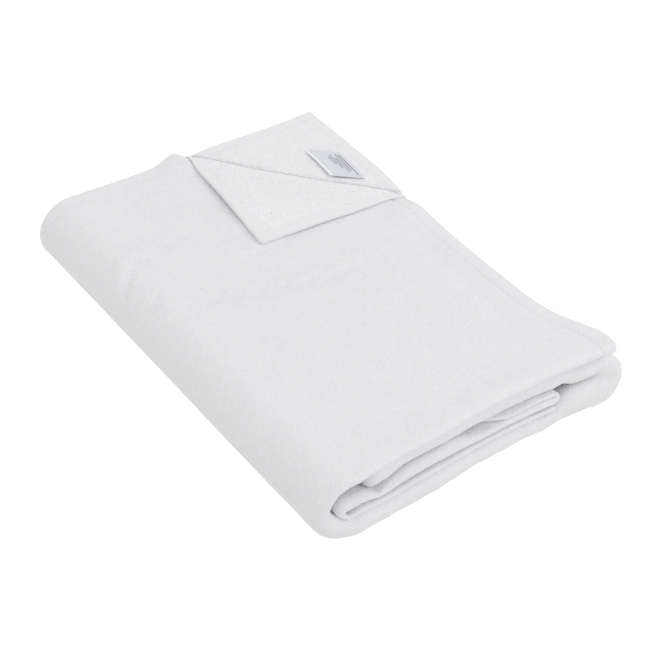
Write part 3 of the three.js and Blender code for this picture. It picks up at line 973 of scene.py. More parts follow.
class ClothMesh:
    """Makes closed sheets and turns them into Blender meshes."""

    FLAT = "flat_cloth"
    EDGE_STEPS = 3
    EDGE_ROUND = 0.75
    PILE_FACE, LOOPED_FACE, EDGE_FACE = range(3)

    @classmethod
    def closed(
        cls, pile: Array, looped: Array, flat: Array, faces: Array
    ) -> tuple[Array, Array, Polygons, list[int]]:
        """Closes a sheet's two faces with a rounded wall along its free edges.

        Args:
            pile: points of the pile side.
            looped: points of the looped side, in the same order.
            flat: places on the flat cloth.
            faces: quads of point numbers, or triangles with their last number repeated.

        Returns:
            The points, their flat places, the faces, and the number of each face's material.
        """
        count = len(pile)
        polygons, finishes = [], []
        owner: dict[tuple[int, int], int] = {}
        for quad in faces.tolist():
            ring = quad if quad[2] != quad[3] else quad[:3]
            polygons.append(ring)
            finishes.append(cls.PILE_FACE)
            polygons.append([n + count for n in reversed(ring)])
            finishes.append(cls.LOOPED_FACE)
            for a, b in zip(ring, ring[1:] + ring[:1]):
                if (b, a) in owner:
                    del owner[(b, a)]
                else:
                    owner[(a, b)] = next(n for n in ring if n not in (a, b))
        middle = (pile + looped) / 2
        outward = np.zeros_like(pile)
        for (a, b), inner in owner.items():
            way = middle[b] - middle[a]
            way /= np.linalg.norm(way)
            out = (middle[a] + middle[b]) / 2 - middle[inner]
            out -= way * (out @ way)
            out /= np.linalg.norm(out)
            outward[a] += out
            outward[b] += out
        edge = sorted({n for pair in owner for n in pair})
        number = {n: i for i, n in enumerate(edge)}
        outward = outward[edge] / np.linalg.norm(outward[edge], axis=1)[:, None]
        half = (pile - looped)[edge] / 2
        thick = np.linalg.norm(half, axis=1)[:, None]
        points, places = [pile, looped], [flat, flat]
        for step in range(1, cls.EDGE_STEPS):
            angle = np.pi * step / cls.EDGE_STEPS
            bulge = outward * thick * cls.EDGE_ROUND * math.sin(angle)
            points.append(middle[edge] + half * math.cos(angle) + bulge)
            places.append(flat[edge])
        first = 2 * count

        def ring_at(n: int, step: int) -> int:
            """Finds an edge point's copy.

            Args:
                n: the edge point's number on the pile side.
                step: the step around the rounded edge.

            Returns:
                The copy's number.
            """
            if step == 0:
                return n
            if step == cls.EDGE_STEPS:
                return n + count
            return first + (step - 1) * len(edge) + number[n]

        for a, b in owner:
            for step in range(cls.EDGE_STEPS):
                near = (ring_at(b, step), ring_at(a, step))
                far = (ring_at(a, step + 1), ring_at(b, step + 1))
                polygons.append([*near, *far])
                finishes.append(cls.EDGE_FACE)
        return np.concatenate(points), np.concatenate(places), polygons, finishes

    @classmethod
    def piece(
        cls,
        name: str,
        points: Array,
        polygons: Polygons,
        materials: list[bpy.types.Material],
        finishes: list[int] | None = None,
        flat: Array | None = None,
    ) -> bpy.types.Object:
        """Makes a smooth piece and links it to the scene.

        Args:
            name: the piece's name.
            points: its points, in metres.
            polygons: its faces.
            materials: its materials.
            finishes: the number of each face's material.
            flat: the points' places on the flat cloth, in millimetres.

        Returns:
            The new object.
        """
        mesh = bpy.data.meshes.new(name)
        mesh.from_pydata(points.tolist(), [], polygons)
        for material in materials:
            mesh.materials.append(material)
        if finishes is not None:
            mesh.polygons.foreach_set("material_index", finishes)
        mesh.polygons.foreach_set("use_smooth", [True] * len(mesh.polygons))
        if flat is not None:
            order = np.zeros(len(mesh.loops), np.int32)
            mesh.loops.foreach_get("vertex_index", order)
            layer = mesh.uv_layers.new(name=cls.FLAT)
            layer.data.foreach_set("uv", (flat[order] * METRE).astype(np.float32).ravel())
        mesh.update()
        made = bpy.data.objects.new(name, mesh)
        bpy.context.scene.collection.objects.link(made)
        return made


@dataclass(frozen=True)
class Towelling:
    """The towel's finishes: velour pile, loops, and woven hems. Sizes are millimetres.

    Attributes:
        pile_white, pile_painted_shade: the velour on its tufts and between them, where its darker colour is
            painted shade.
        loop_white, loop_painted_shade_and_tone: the loops, likewise; on the looped side the darker colour is
            painted shade between the loops, on the standing loops a random tone.
        hem_white: the woven hems and their thread.
        hem_width, hem_blend: width of the hems on the looped side, and how far before and past it they end.
        tuft_pitch, lie_pitch, patch_pitch: the velour's tufts, the way that they lie, and its mottling.
        nub_pitch, row_pitch, tone_pitch: the loops, their rows, and how their tone changes.
        loop_twist, thread_twist, weave_pitch: twist of the two threads, and the weave of a hem's edge.
        hem_height: height of the hems among the loops, as a share of theirs.
        dull, faint: roughness and gloss of pile and loops.
    """

    pile_white: Colour = (0.86, 0.862, 0.876)
    pile_painted_shade: Colour = (0.81, 0.812, 0.826)
    loop_white: Colour = (0.945, 0.947, 0.958)
    loop_painted_shade_and_tone: Colour = (0.905, 0.907, 0.92)
    hem_white: Colour = (0.84, 0.843, 0.855)
    hem_width: float = 9.0
    hem_blend: tuple[float, float] = (2.5, 1.5)
    tuft_pitch: float = 1.3
    lie_pitch: float = 5.5
    patch_pitch: float = 26
    nub_pitch: float = 1.9
    row_pitch: float = 3.6
    tone_pitch: float = 7.0
    loop_twist: float = 0.5
    thread_twist: float = 0.35
    weave_pitch: float = 0.8
    hem_height: float = 0.55
    dull: float = 0.95
    faint: float = 0.1

    def hem_share(self, graph: Graph, width: float, length: float) -> Wire:
        """One on the hems and zero on the open cloth.

        Args:
            graph: the material's nodes.
            width: the flat cloth's width.
            length: its length.

        Returns:
            The share.
        """
        u, v, _ = graph.cloth_place().axes()
        edge = u.least(length * METRE - u).least(v.least(width * METRE - v))
        before, past = self.hem_blend
        return 1 - edge.between((self.hem_width - before) * METRE, (self.hem_width + past) * METRE)

    def velour(self) -> bpy.types.Material:
        """Short sheared pile, a little mottled where it lies in different ways, and darker between its tufts
        as painted shade.

        Returns:
            The material.
        """
        graph = Graph("velour_pile")
        place = graph.object_place()
        tufts = graph.grain(place, self.tuft_pitch, 2.0, 0.6)
        lie = graph.grain(place, self.lie_pitch, 2.0, 0.6)
        patches = graph.grain(place, self.patch_pitch, 2.0, 0.5)
        height = tufts * 0.75 + lie * 0.5
        # Painted shade: the colour darkens where the tufts and the lie are low, as in the bump, with random
        # patches mixed in.
        shade = (tufts * 0.6 + lie * 0.25 + patches * 0.15).between(0.3, 0.65)
        return graph.surface(
            Base_Color=graph.blend(shade, self.pile_painted_shade, self.pile_white),
            Roughness=self.dull,
            Specular_IOR_Level=self.faint,
            Normal=graph.bump(height, 0.8, 1.1),
        )

    def looped(self, width: float, length: float) -> bpy.types.Material:
        """Looped reverse with woven hems, and painted shade between its loops.

        Args:
            width: the flat cloth's width.
            length: its length.

        Returns:
            The material.
        """
        graph = Graph("terry_loops")
        place = graph.object_place()
        hem = self.hem_share(graph, width, length)
        nubs = 1 - graph.nubs(place, self.nub_pitch)
        rows = graph.grain(place, self.row_pitch, 2.0, 0.6)
        loops = nubs * 0.8 + rows * 0.5
        height = loops * (1 - hem) + self.hem_height * hem
        # Painted shade: the colour darkens where the nubs and rows are low, as in the bump.
        shade = loops.between(0.55, 1.0)
        cloth = graph.blend(shade, self.loop_painted_shade_and_tone, self.loop_white)
        return graph.surface(
            Base_Color=graph.blend(hem, cloth, self.hem_white),
            Roughness=self.dull,
            Specular_IOR_Level=self.faint,
            Normal=graph.bump(height, 0.45, 1.0),
        )

    def loops(self) -> bpy.types.Material:
        """The threads of the standing loops.

        Returns:
            The material.
        """
        graph = Graph("loop_thread")
        twist = graph.grain(graph.object_place(), self.loop_twist)
        tone = graph.grain(graph.object_place(), self.tone_pitch).between(0.35, 0.65)
        return graph.surface(
            Base_Color=graph.blend(tone, self.loop_painted_shade_and_tone, self.loop_white),
            Roughness=self.dull,
            Specular_IOR_Level=self.faint,
            Normal=graph.bump(twist, 0.2, 0.2),
        )

    def thread(self) -> bpy.types.Material:
        """The sewing thread.

        Returns:
            The material.
        """
        graph = Graph("sewing_thread")
        twist = graph.grain(graph.object_place(), self.thread_twist)
        return graph.surface(
            Base_Color=self.hem_white,
            Roughness=0.6,
            Specular_IOR_Level=0.3,
            Normal=graph.bump(twist, 0.3, 0.15),
        )

    def edge(self) -> bpy.types.Material:
        """The folded edge of the hems.

        Returns:
            The material.
        """
        graph = Graph("hem_edge")
        weave = graph.grain(graph.object_place(), self.weave_pitch)
        return graph.surface(
            Base_Color=self.hem_white,
            Roughness=0.9,
            Specular_IOR_Level=0.2,
            Normal=graph.bump(weave, 0.3, 0.4),
        )


@dataclass
class Towel:
    """The towel itself: one closed sheet, folded.

    Attributes:
        packet, corner: how it is folded, and its turned corner.
        finish: its finishes.
        pile_hem, looped_hem: its hem as each face shows it.
        forward_steps, under_steps: rows forward of the turned corner, above and below: even ones, then those
            where the layers swell.
        round_steps: rows around the doubled front edge.
        flat_half: half of a layer's thickness, as the flat cloth is measured.
        creases: the creases of the upper layer.
    """

    packet: Packet
    corner: TurnedCorner
    finish: Towelling = Towelling()
    pile_hem: Hem = Hem()
    looped_hem: Hem = Hem(width=9.0, groove=0.35, fullness=0.1, pucker=0.2)
    forward_steps: tuple[int, int] = (42, 13)
    under_steps: tuple[int, int] = (14, 9)
    round_steps: int = 12
    flat_half: float = 5
    creases: tuple[Crease, ...] = (
        Crease(
            (
                (-140, 14), (-120, 15), (-104, 20), (-88, 18), (-59, 9), (-15, -3), (19, -9), (43, -9),
                (71, -17),
            ),
            2.6, 4.2, 1.6,
        ),
        Crease(((-136, 77), (-118, 87), (-98, 96), (-83, 96), (-67, 100), (-49, 105)), 2.4, 3.8, 1.8),
        Crease(((-38, 51), (-22, 48), (-1, 49), (21, 51)), 1.9, 3.8, 0.9),
        Crease(((-80, 158), (-66, 144), (-58, 140)), 1.6, 3.8, 0.8),
        Crease(((-35, 92), (-29, 85), (-12, 74)), 1.4, 3.8, 0.5),
        Crease(((-134, 36), (-125, 43), (-113, 48)), 1.8, 3.8, 0.9),
        Crease(((-150, 60), (-128, 76), (-119, 83)), 1.8, 3.8, 0.9),
        Crease(((89, 35), (106, 8), (101, -44), (99, -92), (97, -138), (97, -170)), 2.0, 9.0, 0.8),
        Crease(((97, -170), (50, -174), (10, -172), (-33, -167)), 1.3, 8.0, 0.5),
    )

    def __post_init__(self) -> None:
        """Works out the net of the flat cloth."""
        self.inside = self.packet.stations(INSIDE)
        self.front = self.packet.stations(FRONT)
        shares = self.packet.corner_shares()
        corner_y = mix(self.packet.back_y, self.packet.corner_side_y, shares)
        upper = self.forward(self.forward_steps)
        under = self.forward(self.under_steps)[::-1]
        angles = np.pi * np.arange(1, self.round_steps) / self.round_steps
        n, r = len(shares), len(angles)
        y = self.packet.corner_side_y
        self.row_y = np.concatenate([corner_y, np.full(len(upper) + r + len(under), y), corner_y[::-1]])
        self.row_share = np.concatenate([np.zeros(n), upper, np.ones(r), under, np.zeros(n)])
        self.row_angle = np.concatenate([np.zeros(n + len(upper)), angles, np.zeros(len(under) + n)])
        self.row_side = np.concatenate([np.ones(n + len(upper)), np.zeros(r), -np.ones(len(under) + n)])
        self.place_flat()
        self.hems = {Side.PILE: self.pile_hem, Side.LOOPED: self.looped_hem}

    def forward(self, steps: tuple[int, int]) -> Array:
        """Spaces the rows forward of the turned corner, closer together where the layers swell.

        Args:
            steps: the number of even rows, and of those where the layers swell.

        Returns:
            Their shares of the way to the front.
        """
        swell = self.packet.swell_from
        even = swell * np.arange(1, steps[0] + 1) / steps[0]
        close = mix(swell, 1, np.arange(1, steps[1] + 1) / steps[1])
        return np.concatenate([even, close])

    def place_flat(self) -> None:
        """Measures the net of the pile side, before the packet is made uneven.

        u runs along it from the end hem, and v across it from the upper back hem. It comes out longer than
        the cloth itself: it goes around the outside of most folds, and the wander of the ends draws the
        layers in.
        """
        outer_x = self.inside.x + self.inside.pile_x * self.inside.half
        outer_z = self.inside.z + self.inside.pile_z * self.inside.half
        steps = np.hypot(np.diff(outer_x), np.diff(outer_z))
        self.u = np.concatenate([[0], np.cumsum(steps)])
        start = self.packet.front_y + self.packet.round_depth
        row_y = mix(self.row_y, start, self.row_share) - self.packet.round_depth * np.sin(self.row_angle)
        row_z = np.where(self.row_side == 0, np.cos(self.row_angle), self.row_side) * self.flat_half
        self.v = np.concatenate([[0], np.cumsum(np.hypot(np.diff(row_y), np.diff(row_z)))])
        self.length, self.width = float(self.u[-1]), float(self.v[-1])

    def grid(self, side: Side) -> tuple[Array, Array]:
        """Points of the folded cloth on one face, before it is made uneven.

        Args:
            side: the face.

        Returns:
            The points, and the direction in which the pile side faces there.
        """
        packet, corner = self.packet, self.corner
        swell = ease(self.row_share, packet.swell_from, 1)[None, :]

        def value(name: str) -> Array:
            """One number of the stations at every row."""
            return mix(getattr(self.inside, name)[:, None], getattr(self.front, name)[:, None], swell)

        half, recess = value("half"), self.front.recess[:, None]
        depth = np.minimum(self.front.half, packet.round_depth)[:, None]
        ply = np.clip(half - packet.ply_gap, packet.pressed_ply, packet.ply)
        inset = 0 if side is Side.PILE else ply
        turn = np.where(self.row_side == 0, np.cos(self.row_angle), self.row_side)[None, :]
        offset = (half - inset) * turn
        start = packet.front_y + recess + depth
        y = mix(self.row_y[None, :], start, self.row_share[None, :])
        y = y - (depth - inset) * np.sin(self.row_angle)
        pile_x, pile_z = value("pile_x"), value("pile_z")
        x, z = value("x") + pile_x * offset, value("z") + pile_z * offset
        top = (np.arange(len(self.u)) < packet.corner_steps + packet.way[0].steps)[:, None]
        bowed_x, bowed_y = corner.bowed(x, y)
        upper, lower = top & (self.row_side == 1), top & (self.row_side == -1)
        if side is Side.LOOPED:
            z = z + np.where(upper, packet.ply - corner.ply(x, y), 0)
        z = z + np.where(upper, corner.drawn_up(x, y), 0) + np.where(lower, corner.bared(x, y), 0)
        x, y = np.where(upper, bowed_x, x), np.where(upper, bowed_y, y)
        facing = np.stack([pile_x * turn, -np.sin(self.row_angle)[None, :] + 0 * x, pile_z * turn], axis=-1)
        return np.stack([x, y, z], axis=-1), facing

    def relief(self) -> Array:
        """Works out the creases of the upper ply.

        Returns:
            Their height at every node of the net.
        """
        along = self.packet.top_end_x - self.u[:, None] + 0 * self.row_y
        front = self.packet.front_y + self.packet.round_depth
        y = mix(self.row_y, front, self.row_share)[None, :] + 0 * along
        height = sum(crease.relief(along, y) for crease in self.creases)
        fold = self.packet.corner_steps + self.packet.way[0].steps + self.packet.way[1].steps
        seen = (np.arange(len(self.u)) < fold)[:, None] & (self.row_side == 1)[None, :]
        return np.where(seen, height, 0)

    def front_lumps(self) -> Array:
        """Works out how far the front folds bulge or draw back.

        Returns:
            The height at every node of the net.
        """
        lumps = np.zeros((len(self.u), len(self.v)))
        for i, u in enumerate(self.u):
            for j in np.nonzero(self.row_angle)[0]:
                for pitch, size in self.packet.lump_pitches:
                    lumps[i, j] += size * noise.noise(Vector((u, self.v[j], 0)) / pitch)
        return lumps * self.packet.lumpiness()[:, None] * np.sin(self.row_angle)[None, :]

    def hem_relief(self, side: Side) -> Array:
        """Works out the hems' relief.

        Args:
            side: the face.

        Returns:
            The height at every node of the net.
        """
        hem = self.hems[side]
        u, v = self.u[:, None] + 0 * self.v, self.v[None, :] + 0 * self.u[:, None]
        ends = hem.relief(np.minimum(u, self.length - u), v)
        sides = hem.relief(np.minimum(v, self.width - v), u)
        on_end = np.minimum(u, self.length - u) < np.minimum(v, self.width - v)
        return np.where(on_end, ends, sides)

    def build(self) -> bpy.types.Object:
        """Builds the folded sheet.

        Returns:
            The towel's object.
        """
        n = self.packet.corner_steps
        shares = self.packet.corner_shares()
        rows, columns = len(self.u), len(self.v)
        i, j = np.meshgrid(np.arange(rows), np.arange(columns), indexing="ij")
        flap = i + j < n
        p = shares[np.minimum(i, n)]
        q = shares[np.minimum(j, n)]
        moved = self.front_lumps() + np.where(flap, 0, self.relief())
        faces: dict[Side, Array] = {}
        for side in Side:
            points, facing = self.grid(side)
            folded = self.corner.flap(p, q, side.value)
            points = np.where(flap[..., None], folded, points)
            facing = np.where(flap[..., None], np.array([0.0, 0.0, -1.0]), facing)
            points = points + facing * (self.hem_relief(side) * side.value + moved)[..., None]
            rolls = []
            for step in range(1, self.corner.roll_steps + 1):
                angle = np.pi * step / self.corner.roll_steps
                rolls.append(self.corner.roll(shares, angle, side.value))
            faces[side] = np.concatenate([points.reshape(-1, 3), np.concatenate(rolls)])
        roll_u = np.tile(self.u[: n + 1], self.corner.roll_steps)
        roll_v = np.tile(self.v[n::-1], self.corner.roll_steps)
        net_flat = np.stack([self.u[i].ravel(), self.v[j].ravel()], axis=1)
        flat = np.concatenate([net_flat, np.stack([roll_u, roll_v], axis=1)])
        quads = self.net(rows, columns)
        pile, looped = (self.packet.uneven(faces[side]) for side in Side)
        points, places, polygons, finishes = ClothMesh.closed(pile, looped, flat, quads)
        materials = [
            self.finish.velour(),
            self.finish.looped(self.width, self.length),
            self.finish.edge(),
        ]
        self.keep_patches({Side.PILE: pile, Side.LOOPED: looped}, rows, columns)
        return ClothMesh.piece("towel_cloth", points, polygons, materials, finishes, places)

    def keep_patches(self, faces: dict[Side, Array], rows: int, columns: int) -> None:
        """Keeps the stretches of cloth that loops and stitches are set on.

        The flap's net goes on in its own slope past the turn, so that places beside the turn can be read.

        Args:
            faces: the finished points of both faces, in metres.
            rows: stations along the cloth.
            columns: rows across it.
        """
        n, turns = self.packet.corner_steps, self.corner.roll_steps
        count = rows * columns
        layer = faces[Side.LOOPED][:count].reshape(rows, columns, 3)
        rolls = faces[Side.LOOPED][count:].reshape(turns, n + 1, 3)
        flap = layer[: n + 1, : n + 1].copy()
        steps = np.arange(n + 1)
        flap[steps, n - steps] = rolls[-1]
        for i in range(1, n + 1):
            for j in range(n + 1 - i, n + 1):
                flap[i, j] = flap[i, j - 1] + flap[i - 1, j] - flap[i - 1, j - 1]
        edge = layer[steps, n - steps]
        roll = np.concatenate([edge[None], rolls]).transpose(1, 0, 2)
        arc = np.pi * (self.packet.ply + self.corner.slack)
        self.flap = Patch(flap, self.u[: n + 1], self.v[: n + 1])
        self.roll = Patch(roll, steps * self.corner.length / n, np.arange(turns + 1) * arc / turns)
        self.bared = Patch(layer[: n + 1, columns - n - 1:][:, ::-1], self.u[: n + 1], self.v[: n + 1], -1)
        pile = faces[Side.PILE][:count].reshape(rows, columns, 3)
        self.upper = Patch(pile, self.u, self.v)

    def net(self, rows: int, columns: int) -> Array:
        """Faces of the net, with the turned corner joined to its layer by the roll.

        Args:
            rows: stations along the cloth.
            columns: rows across it.

        Returns:
            Quads of point numbers; a triangle repeats its last number.
        """
        n, turns = self.packet.corner_steps, self.corner.roll_steps

        def layer(i: int, j: int) -> int:
            """Number of a node on the layer."""
            return i * columns + j

        def roll(k: int, step: int) -> int:
            """Number of a node on the roll."""
            return layer(k, n - k) if step == 0 else rows * columns + (step - 1) * (n + 1) + k

        def flap(i: int, j: int) -> int:
            """Number of a node on the flap."""
            return roll(i, turns) if i + j == n else layer(i, j)

        quads = []
        for k in range(n):
            for step in range(turns):
                quads.append([roll(k, step), roll(k, step + 1), roll(k + 1, step + 1), roll(k + 1, step)])
        for i in range(rows - 1):
            for j in range(columns - 1):
                if i + j + 1 == n:
                    quads.append([flap(i, j), flap(i + 1, j), flap(i, j + 1), flap(i, j + 1)])
                    quads.append([layer(i + 1, j), layer(i + 1, j + 1), layer(i, j + 1), layer(i, j + 1)])
                    continue
                at = flap if i + j + 2 <= n else layer
                quads.append([at(i, j), at(i + 1, j), at(i + 1, j + 1), at(i, j + 1)])
        return np.array(quads)


@dataclass
class Strands:
    """Many short closed threads, made as one mesh from arrays.

    Attributes:
        sides: sides of each thread.
    """

    sides: int = 3

    def mesh(self, lines: Array, radii: Array, up: Array) -> tuple[Array, Polygons]:
        """Closed tubes along many short lines.

        Args:
            lines: the lines' points, by line and step, in metres.
            radii: the radius at every step.
            up: a direction across each line.

        Returns:
            The points and the faces.
        """
        count, steps = lines.shape[:2]
        way = np.gradient(lines, axis=1)
        way /= np.linalg.norm(way, axis=2)[..., None]
        first = np.cross(way, up[:, None, :])
        first /= np.linalg.norm(first, axis=2)[..., None]
        second = np.cross(way, first)
        angle = 2 * np.pi * np.arange(self.sides) / self.sides
        ring = first[:, :, None] * np.cos(angle)[:, None] + second[:, :, None] * np.sin(angle)[:, None]
        points = lines[:, :, None] + ring * radii[None, :, None, None]
        number = np.arange(count * steps * self.sides).reshape(count, steps, self.sides)
        after = np.roll(number, -1, axis=2)
        walls = np.stack([number[:, :-1], after[:, :-1], after[:, 1:], number[:, 1:]], axis=-1).reshape(-1, 4)
        caps = np.concatenate([number[:, 0, ::-1], number[:, -1]])
        return points.reshape(-1, 3), walls.tolist() + caps.tolist()


@dataclass
class TerryLoops:
    """The loops that stand up from the looped side, leaning in small groups.

    Attributes:
        pitch, jitter: space between them, and the share of it by which they are moved.
        height, height_range: their height, and the shares of it between which it changes.
        spread: half of a loop's width.
        radius: radius of the thread.
        lean, lean_pitch, lean_turns: how far they lean, the size of a group, and how much its way turns.
        clear_of_hem, clear_of_end, clear_of_turn: distances kept to the hems' edges, and to the turn's ends
            and its line.
        seed: seed of all that differs between them.
        strands: the threads.
    """

    SHAPE = ((-1.0, -0.25), (-0.85, 0.6), (0.0, 1.0), (0.85, 0.6), (1.0, -0.25))

    pitch: float = 1.6
    jitter: float = 0.45
    height: float = 0.8
    height_range: tuple[float, float] = (0.7, 1.15)
    spread: float = 0.7
    radius: float = 0.38
    lean: float = 0.6
    lean_pitch: float = 5.0
    lean_turns: float = 2
    clear_of_hem: float = 8.5
    clear_of_end: float = 11.9
    clear_of_turn: float = 1.0
    seed: int = 7
    strands: Strands = field(default_factory=Strands)

    def lines(self, patch: Patch, u: Array, v: Array, draw: np.random.Generator) -> tuple[Array, Array]:
        """Lines of the loops.

        Args:
            patch: the cloth that they stand on.
            u: their places along the cloth.
            v: their places across it.
            draw: the source of their differences.

        Returns:
            The lines, and a direction across each.
        """
        point, normal, along = patch.at(u, v)
        across = np.cross(normal, along)
        turn = draw.uniform(0, np.pi, len(u))[:, None]
        foot = along * np.cos(turn) + across * np.sin(turn)
        groups = np.array([noise.noise(Vector((a, b, 0)) / self.lean_pitch) for a, b in zip(u, v)])
        way = 2 * np.pi * self.lean_turns * groups[:, None]
        lean = along * np.cos(way) + across * np.sin(way)
        tall = self.height * draw.uniform(*self.height_range, len(u))[:, None]
        line = []
        for side, rise in self.SHAPE:
            sway = foot * self.spread * side + lean * self.lean * tall * max(rise, 0)
            line.append(point + METRE * (sway + normal * tall * rise))
        return np.stack(line, axis=1), np.cross(foot, normal)

    def build(
        self, name: str, spots: list[tuple[Patch, Array, Array]], material: bpy.types.Material
    ) -> bpy.types.Object:
        """Builds the loops of some patches as one piece.

        Args:
            name: the piece's name.
            spots: each patch with the places of its loops.
            material: their finish.

        Returns:
            The piece.
        """
        draw = np.random.default_rng(self.seed)
        lines, up = zip(*(self.lines(patch, u, v, draw) for patch, u, v in spots))
        lines, up = np.concatenate(lines), np.concatenate(up)
        radii = np.full(lines.shape[1], self.radius * METRE)
        points, faces = self.strands.mesh(lines, radii, up)
        return ClothMesh.piece(name, points, faces, [material])

    def flap(self, towel: Towel, material: bpy.types.Material) -> bpy.types.Object:
        """Builds the loops of the flap and of the turn.

        Args:
            towel: the finished towel.
            material: their finish.

        Returns:
            The piece.
        """
        draw = np.random.default_rng(self.seed + 1)
        u, v = towel.flap.scatter(self.pitch, self.jitter, draw)
        before_turn = u / towel.flap.u[-1] + v / towel.flap.v[-1] < 1
        seen = (u > self.clear_of_hem) & (v > self.clear_of_hem) & before_turn
        along, around = towel.roll.scatter(self.pitch, self.jitter, draw)
        left = towel.corner.length - along
        inner = (along > self.clear_of_end) & (left > self.clear_of_end)
        spots = [(towel.flap, u[seen], v[seen]), (towel.roll, along[inner], around[inner])]
        return self.build("flap_loops", spots, material)

    def bared(self, towel: Towel, label: "CareLabel", material: bpy.types.Material) -> bpy.types.Object:
        """Builds the loops of the bared layer, left out under the label.

        Args:
            towel: the finished towel.
            label: the label.
            material: their finish.

        Returns:
            The piece.
        """
        u, v = towel.bared.scatter(self.pitch, self.jitter, np.random.default_rng(self.seed + 2))
        x, y = towel.packet.top_end_x - u, towel.packet.back_y - v
        seen = (u > self.clear_of_hem) & (v > self.clear_of_hem)
        seen &= (towel.corner.behind(x, y) > self.clear_of_turn) & ~label.covers(x, y)
        return self.build("bared_loops", [(towel.bared, u[seen], v[seen])], material)


@dataclass
class HemStitches:
    """The stitches that hold the hems down.

    Attributes:
        pitch, length: space between the stitches, and a stitch's length.
        radius: radius of the thread.
        lift: height of its middle over the cloth.
        inset: distance from the cloth's edge on the looped side.
        past_fold: how far a row goes on past the big fold.
        strands: the threads.
    """

    PLACES = (-1.0, -0.7, 0.7, 1.0)
    TAPER = (0.25, 1.0, 1.0, 0.25)

    pitch: float = 3.4
    length: float = 2.7
    radius: float = 0.3
    lift: float = 0.1
    inset: float = 9.0
    past_fold: float = 60
    strands: Strands = field(default_factory=lambda: Strands(5))

    def row(self, patch: Patch, start: tuple[float, float], end: tuple[float, float]) -> tuple[Array, Array]:
        """Lines of one row of stitches.

        Args:
            patch: the cloth.
            start: the row's first place, u and v.
            end: its last place.

        Returns:
            The lines, and a direction across each.
        """
        run = math.dist(start, end)
        count = int(run / self.pitch)
        place = (np.arange(count) + 0.5) / count
        half = self.length / 2 / run
        line = []
        for reach in self.PLACES:
            u, v = (mix(first, last, place + reach * half) for first, last in zip(start, end))
            point, normal, _ = patch.at(u, v)
            line.append(point + normal * METRE * (self.lift if abs(reach) < 1 else -self.radius))
        return np.stack(line, axis=1), normal

    def build(self, towel: Towel, material: bpy.types.Material) -> bpy.types.Object:
        """Builds the stitches that show.

        Args:
            towel: the finished towel.
            material: the thread's finish.

        Returns:
            The piece.
        """
        corner_u, corner_v = towel.flap.u[-1], towel.flap.v[-1]
        front_v = towel.width / 2
        fold_u = corner_u + towel.packet.corner_back_x - towel.packet.big_fold_x
        inset, pile_inset = self.inset, towel.pile_hem.width
        rows = (
            (towel.flap, (inset, inset), (inset, corner_v - 2 * inset)),
            (towel.flap, (inset, inset), (corner_u - 2 * inset, inset)),
            (towel.bared, (inset, inset), (inset, corner_v)),
            (towel.bared, (inset, inset), (corner_u, inset)),
            (towel.upper, (pile_inset, corner_v + inset), (pile_inset, front_v)),
            (towel.upper, (corner_u + inset, pile_inset), (fold_u + self.past_fold, pile_inset)),
        )
        lines, up = zip(*(self.row(patch, start, end) for patch, start, end in rows))
        lines, up = np.concatenate(lines), np.concatenate(up)
        radii = np.array(self.TAPER) * self.radius * METRE
        points, faces = self.strands.mesh(lines, radii, up)
        return ClothMesh.piece("hem_stitches", points, faces, [material])


@dataclass(frozen=True)
class Satin:
    """The label's finish: satin with a few plain printed bars and a painted highlight along its free edge.
    Sizes are shares of the label.

    Attributes:
        white, ink: the satin and the bars.
        edge_highlight, edge_highlight_share: a lighter strip of painted highlight along the turned free edge,
            where it catches the light, and its share of the label's width.
        bars: each bar's place across the label, its start and its end.
        bar_width: width of a bar.
        weave_pitch: the satin's weave, in millimetres.
    """

    white: Colour = (0.72, 0.73, 0.775)
    ink: Colour = (0.24, 0.245, 0.28)
    edge_highlight: Colour = (0.90, 0.905, 0.92)
    edge_highlight_share: float = 0.09
    bars: tuple[tuple[float, float, float], ...] = (
        (0.12, 0.10, 0.88), (0.21, 0.26, 0.90), (0.30, 0.20, 0.76), (0.39, 0.34, 0.86), (0.48, 0.46, 0.78),
    )
    bar_width: float = 0.038
    weave_pitch: float = 0.4

    def material(self, size: tuple[float, float]) -> bpy.types.Material:
        """Satin with bars, and a painted highlight along its free edge.

        Args:
            size: the label's width and length, in millimetres.

        Returns:
            The material.
        """
        graph = Graph("label_satin")
        across, along, _ = graph.cloth_place().axes()
        across, along = across / (size[0] * METRE), along / (size[1] * METRE)
        printed = []
        for place, start, end in self.bars:
            inside = (along - (start + end) / 2).size() < (end - start) / 2
            printed.append(((across - place).size() < self.bar_width / 2) * inside)
        weave = graph.grain(graph.object_place(), self.weave_pitch)
        # Painted highlight: a lighter strip along the free edge, where it catches the light.
        satin = graph.blend(across < (1 - self.edge_highlight_share), self.edge_highlight, self.white)
        return graph.surface(
            Base_Color=graph.blend(sum(printed), satin, self.ink),
            Roughness=0.42,
            Specular_IOR_Level=0.4,
            Normal=graph.bump(weave, 0.15, 0.2),
        )


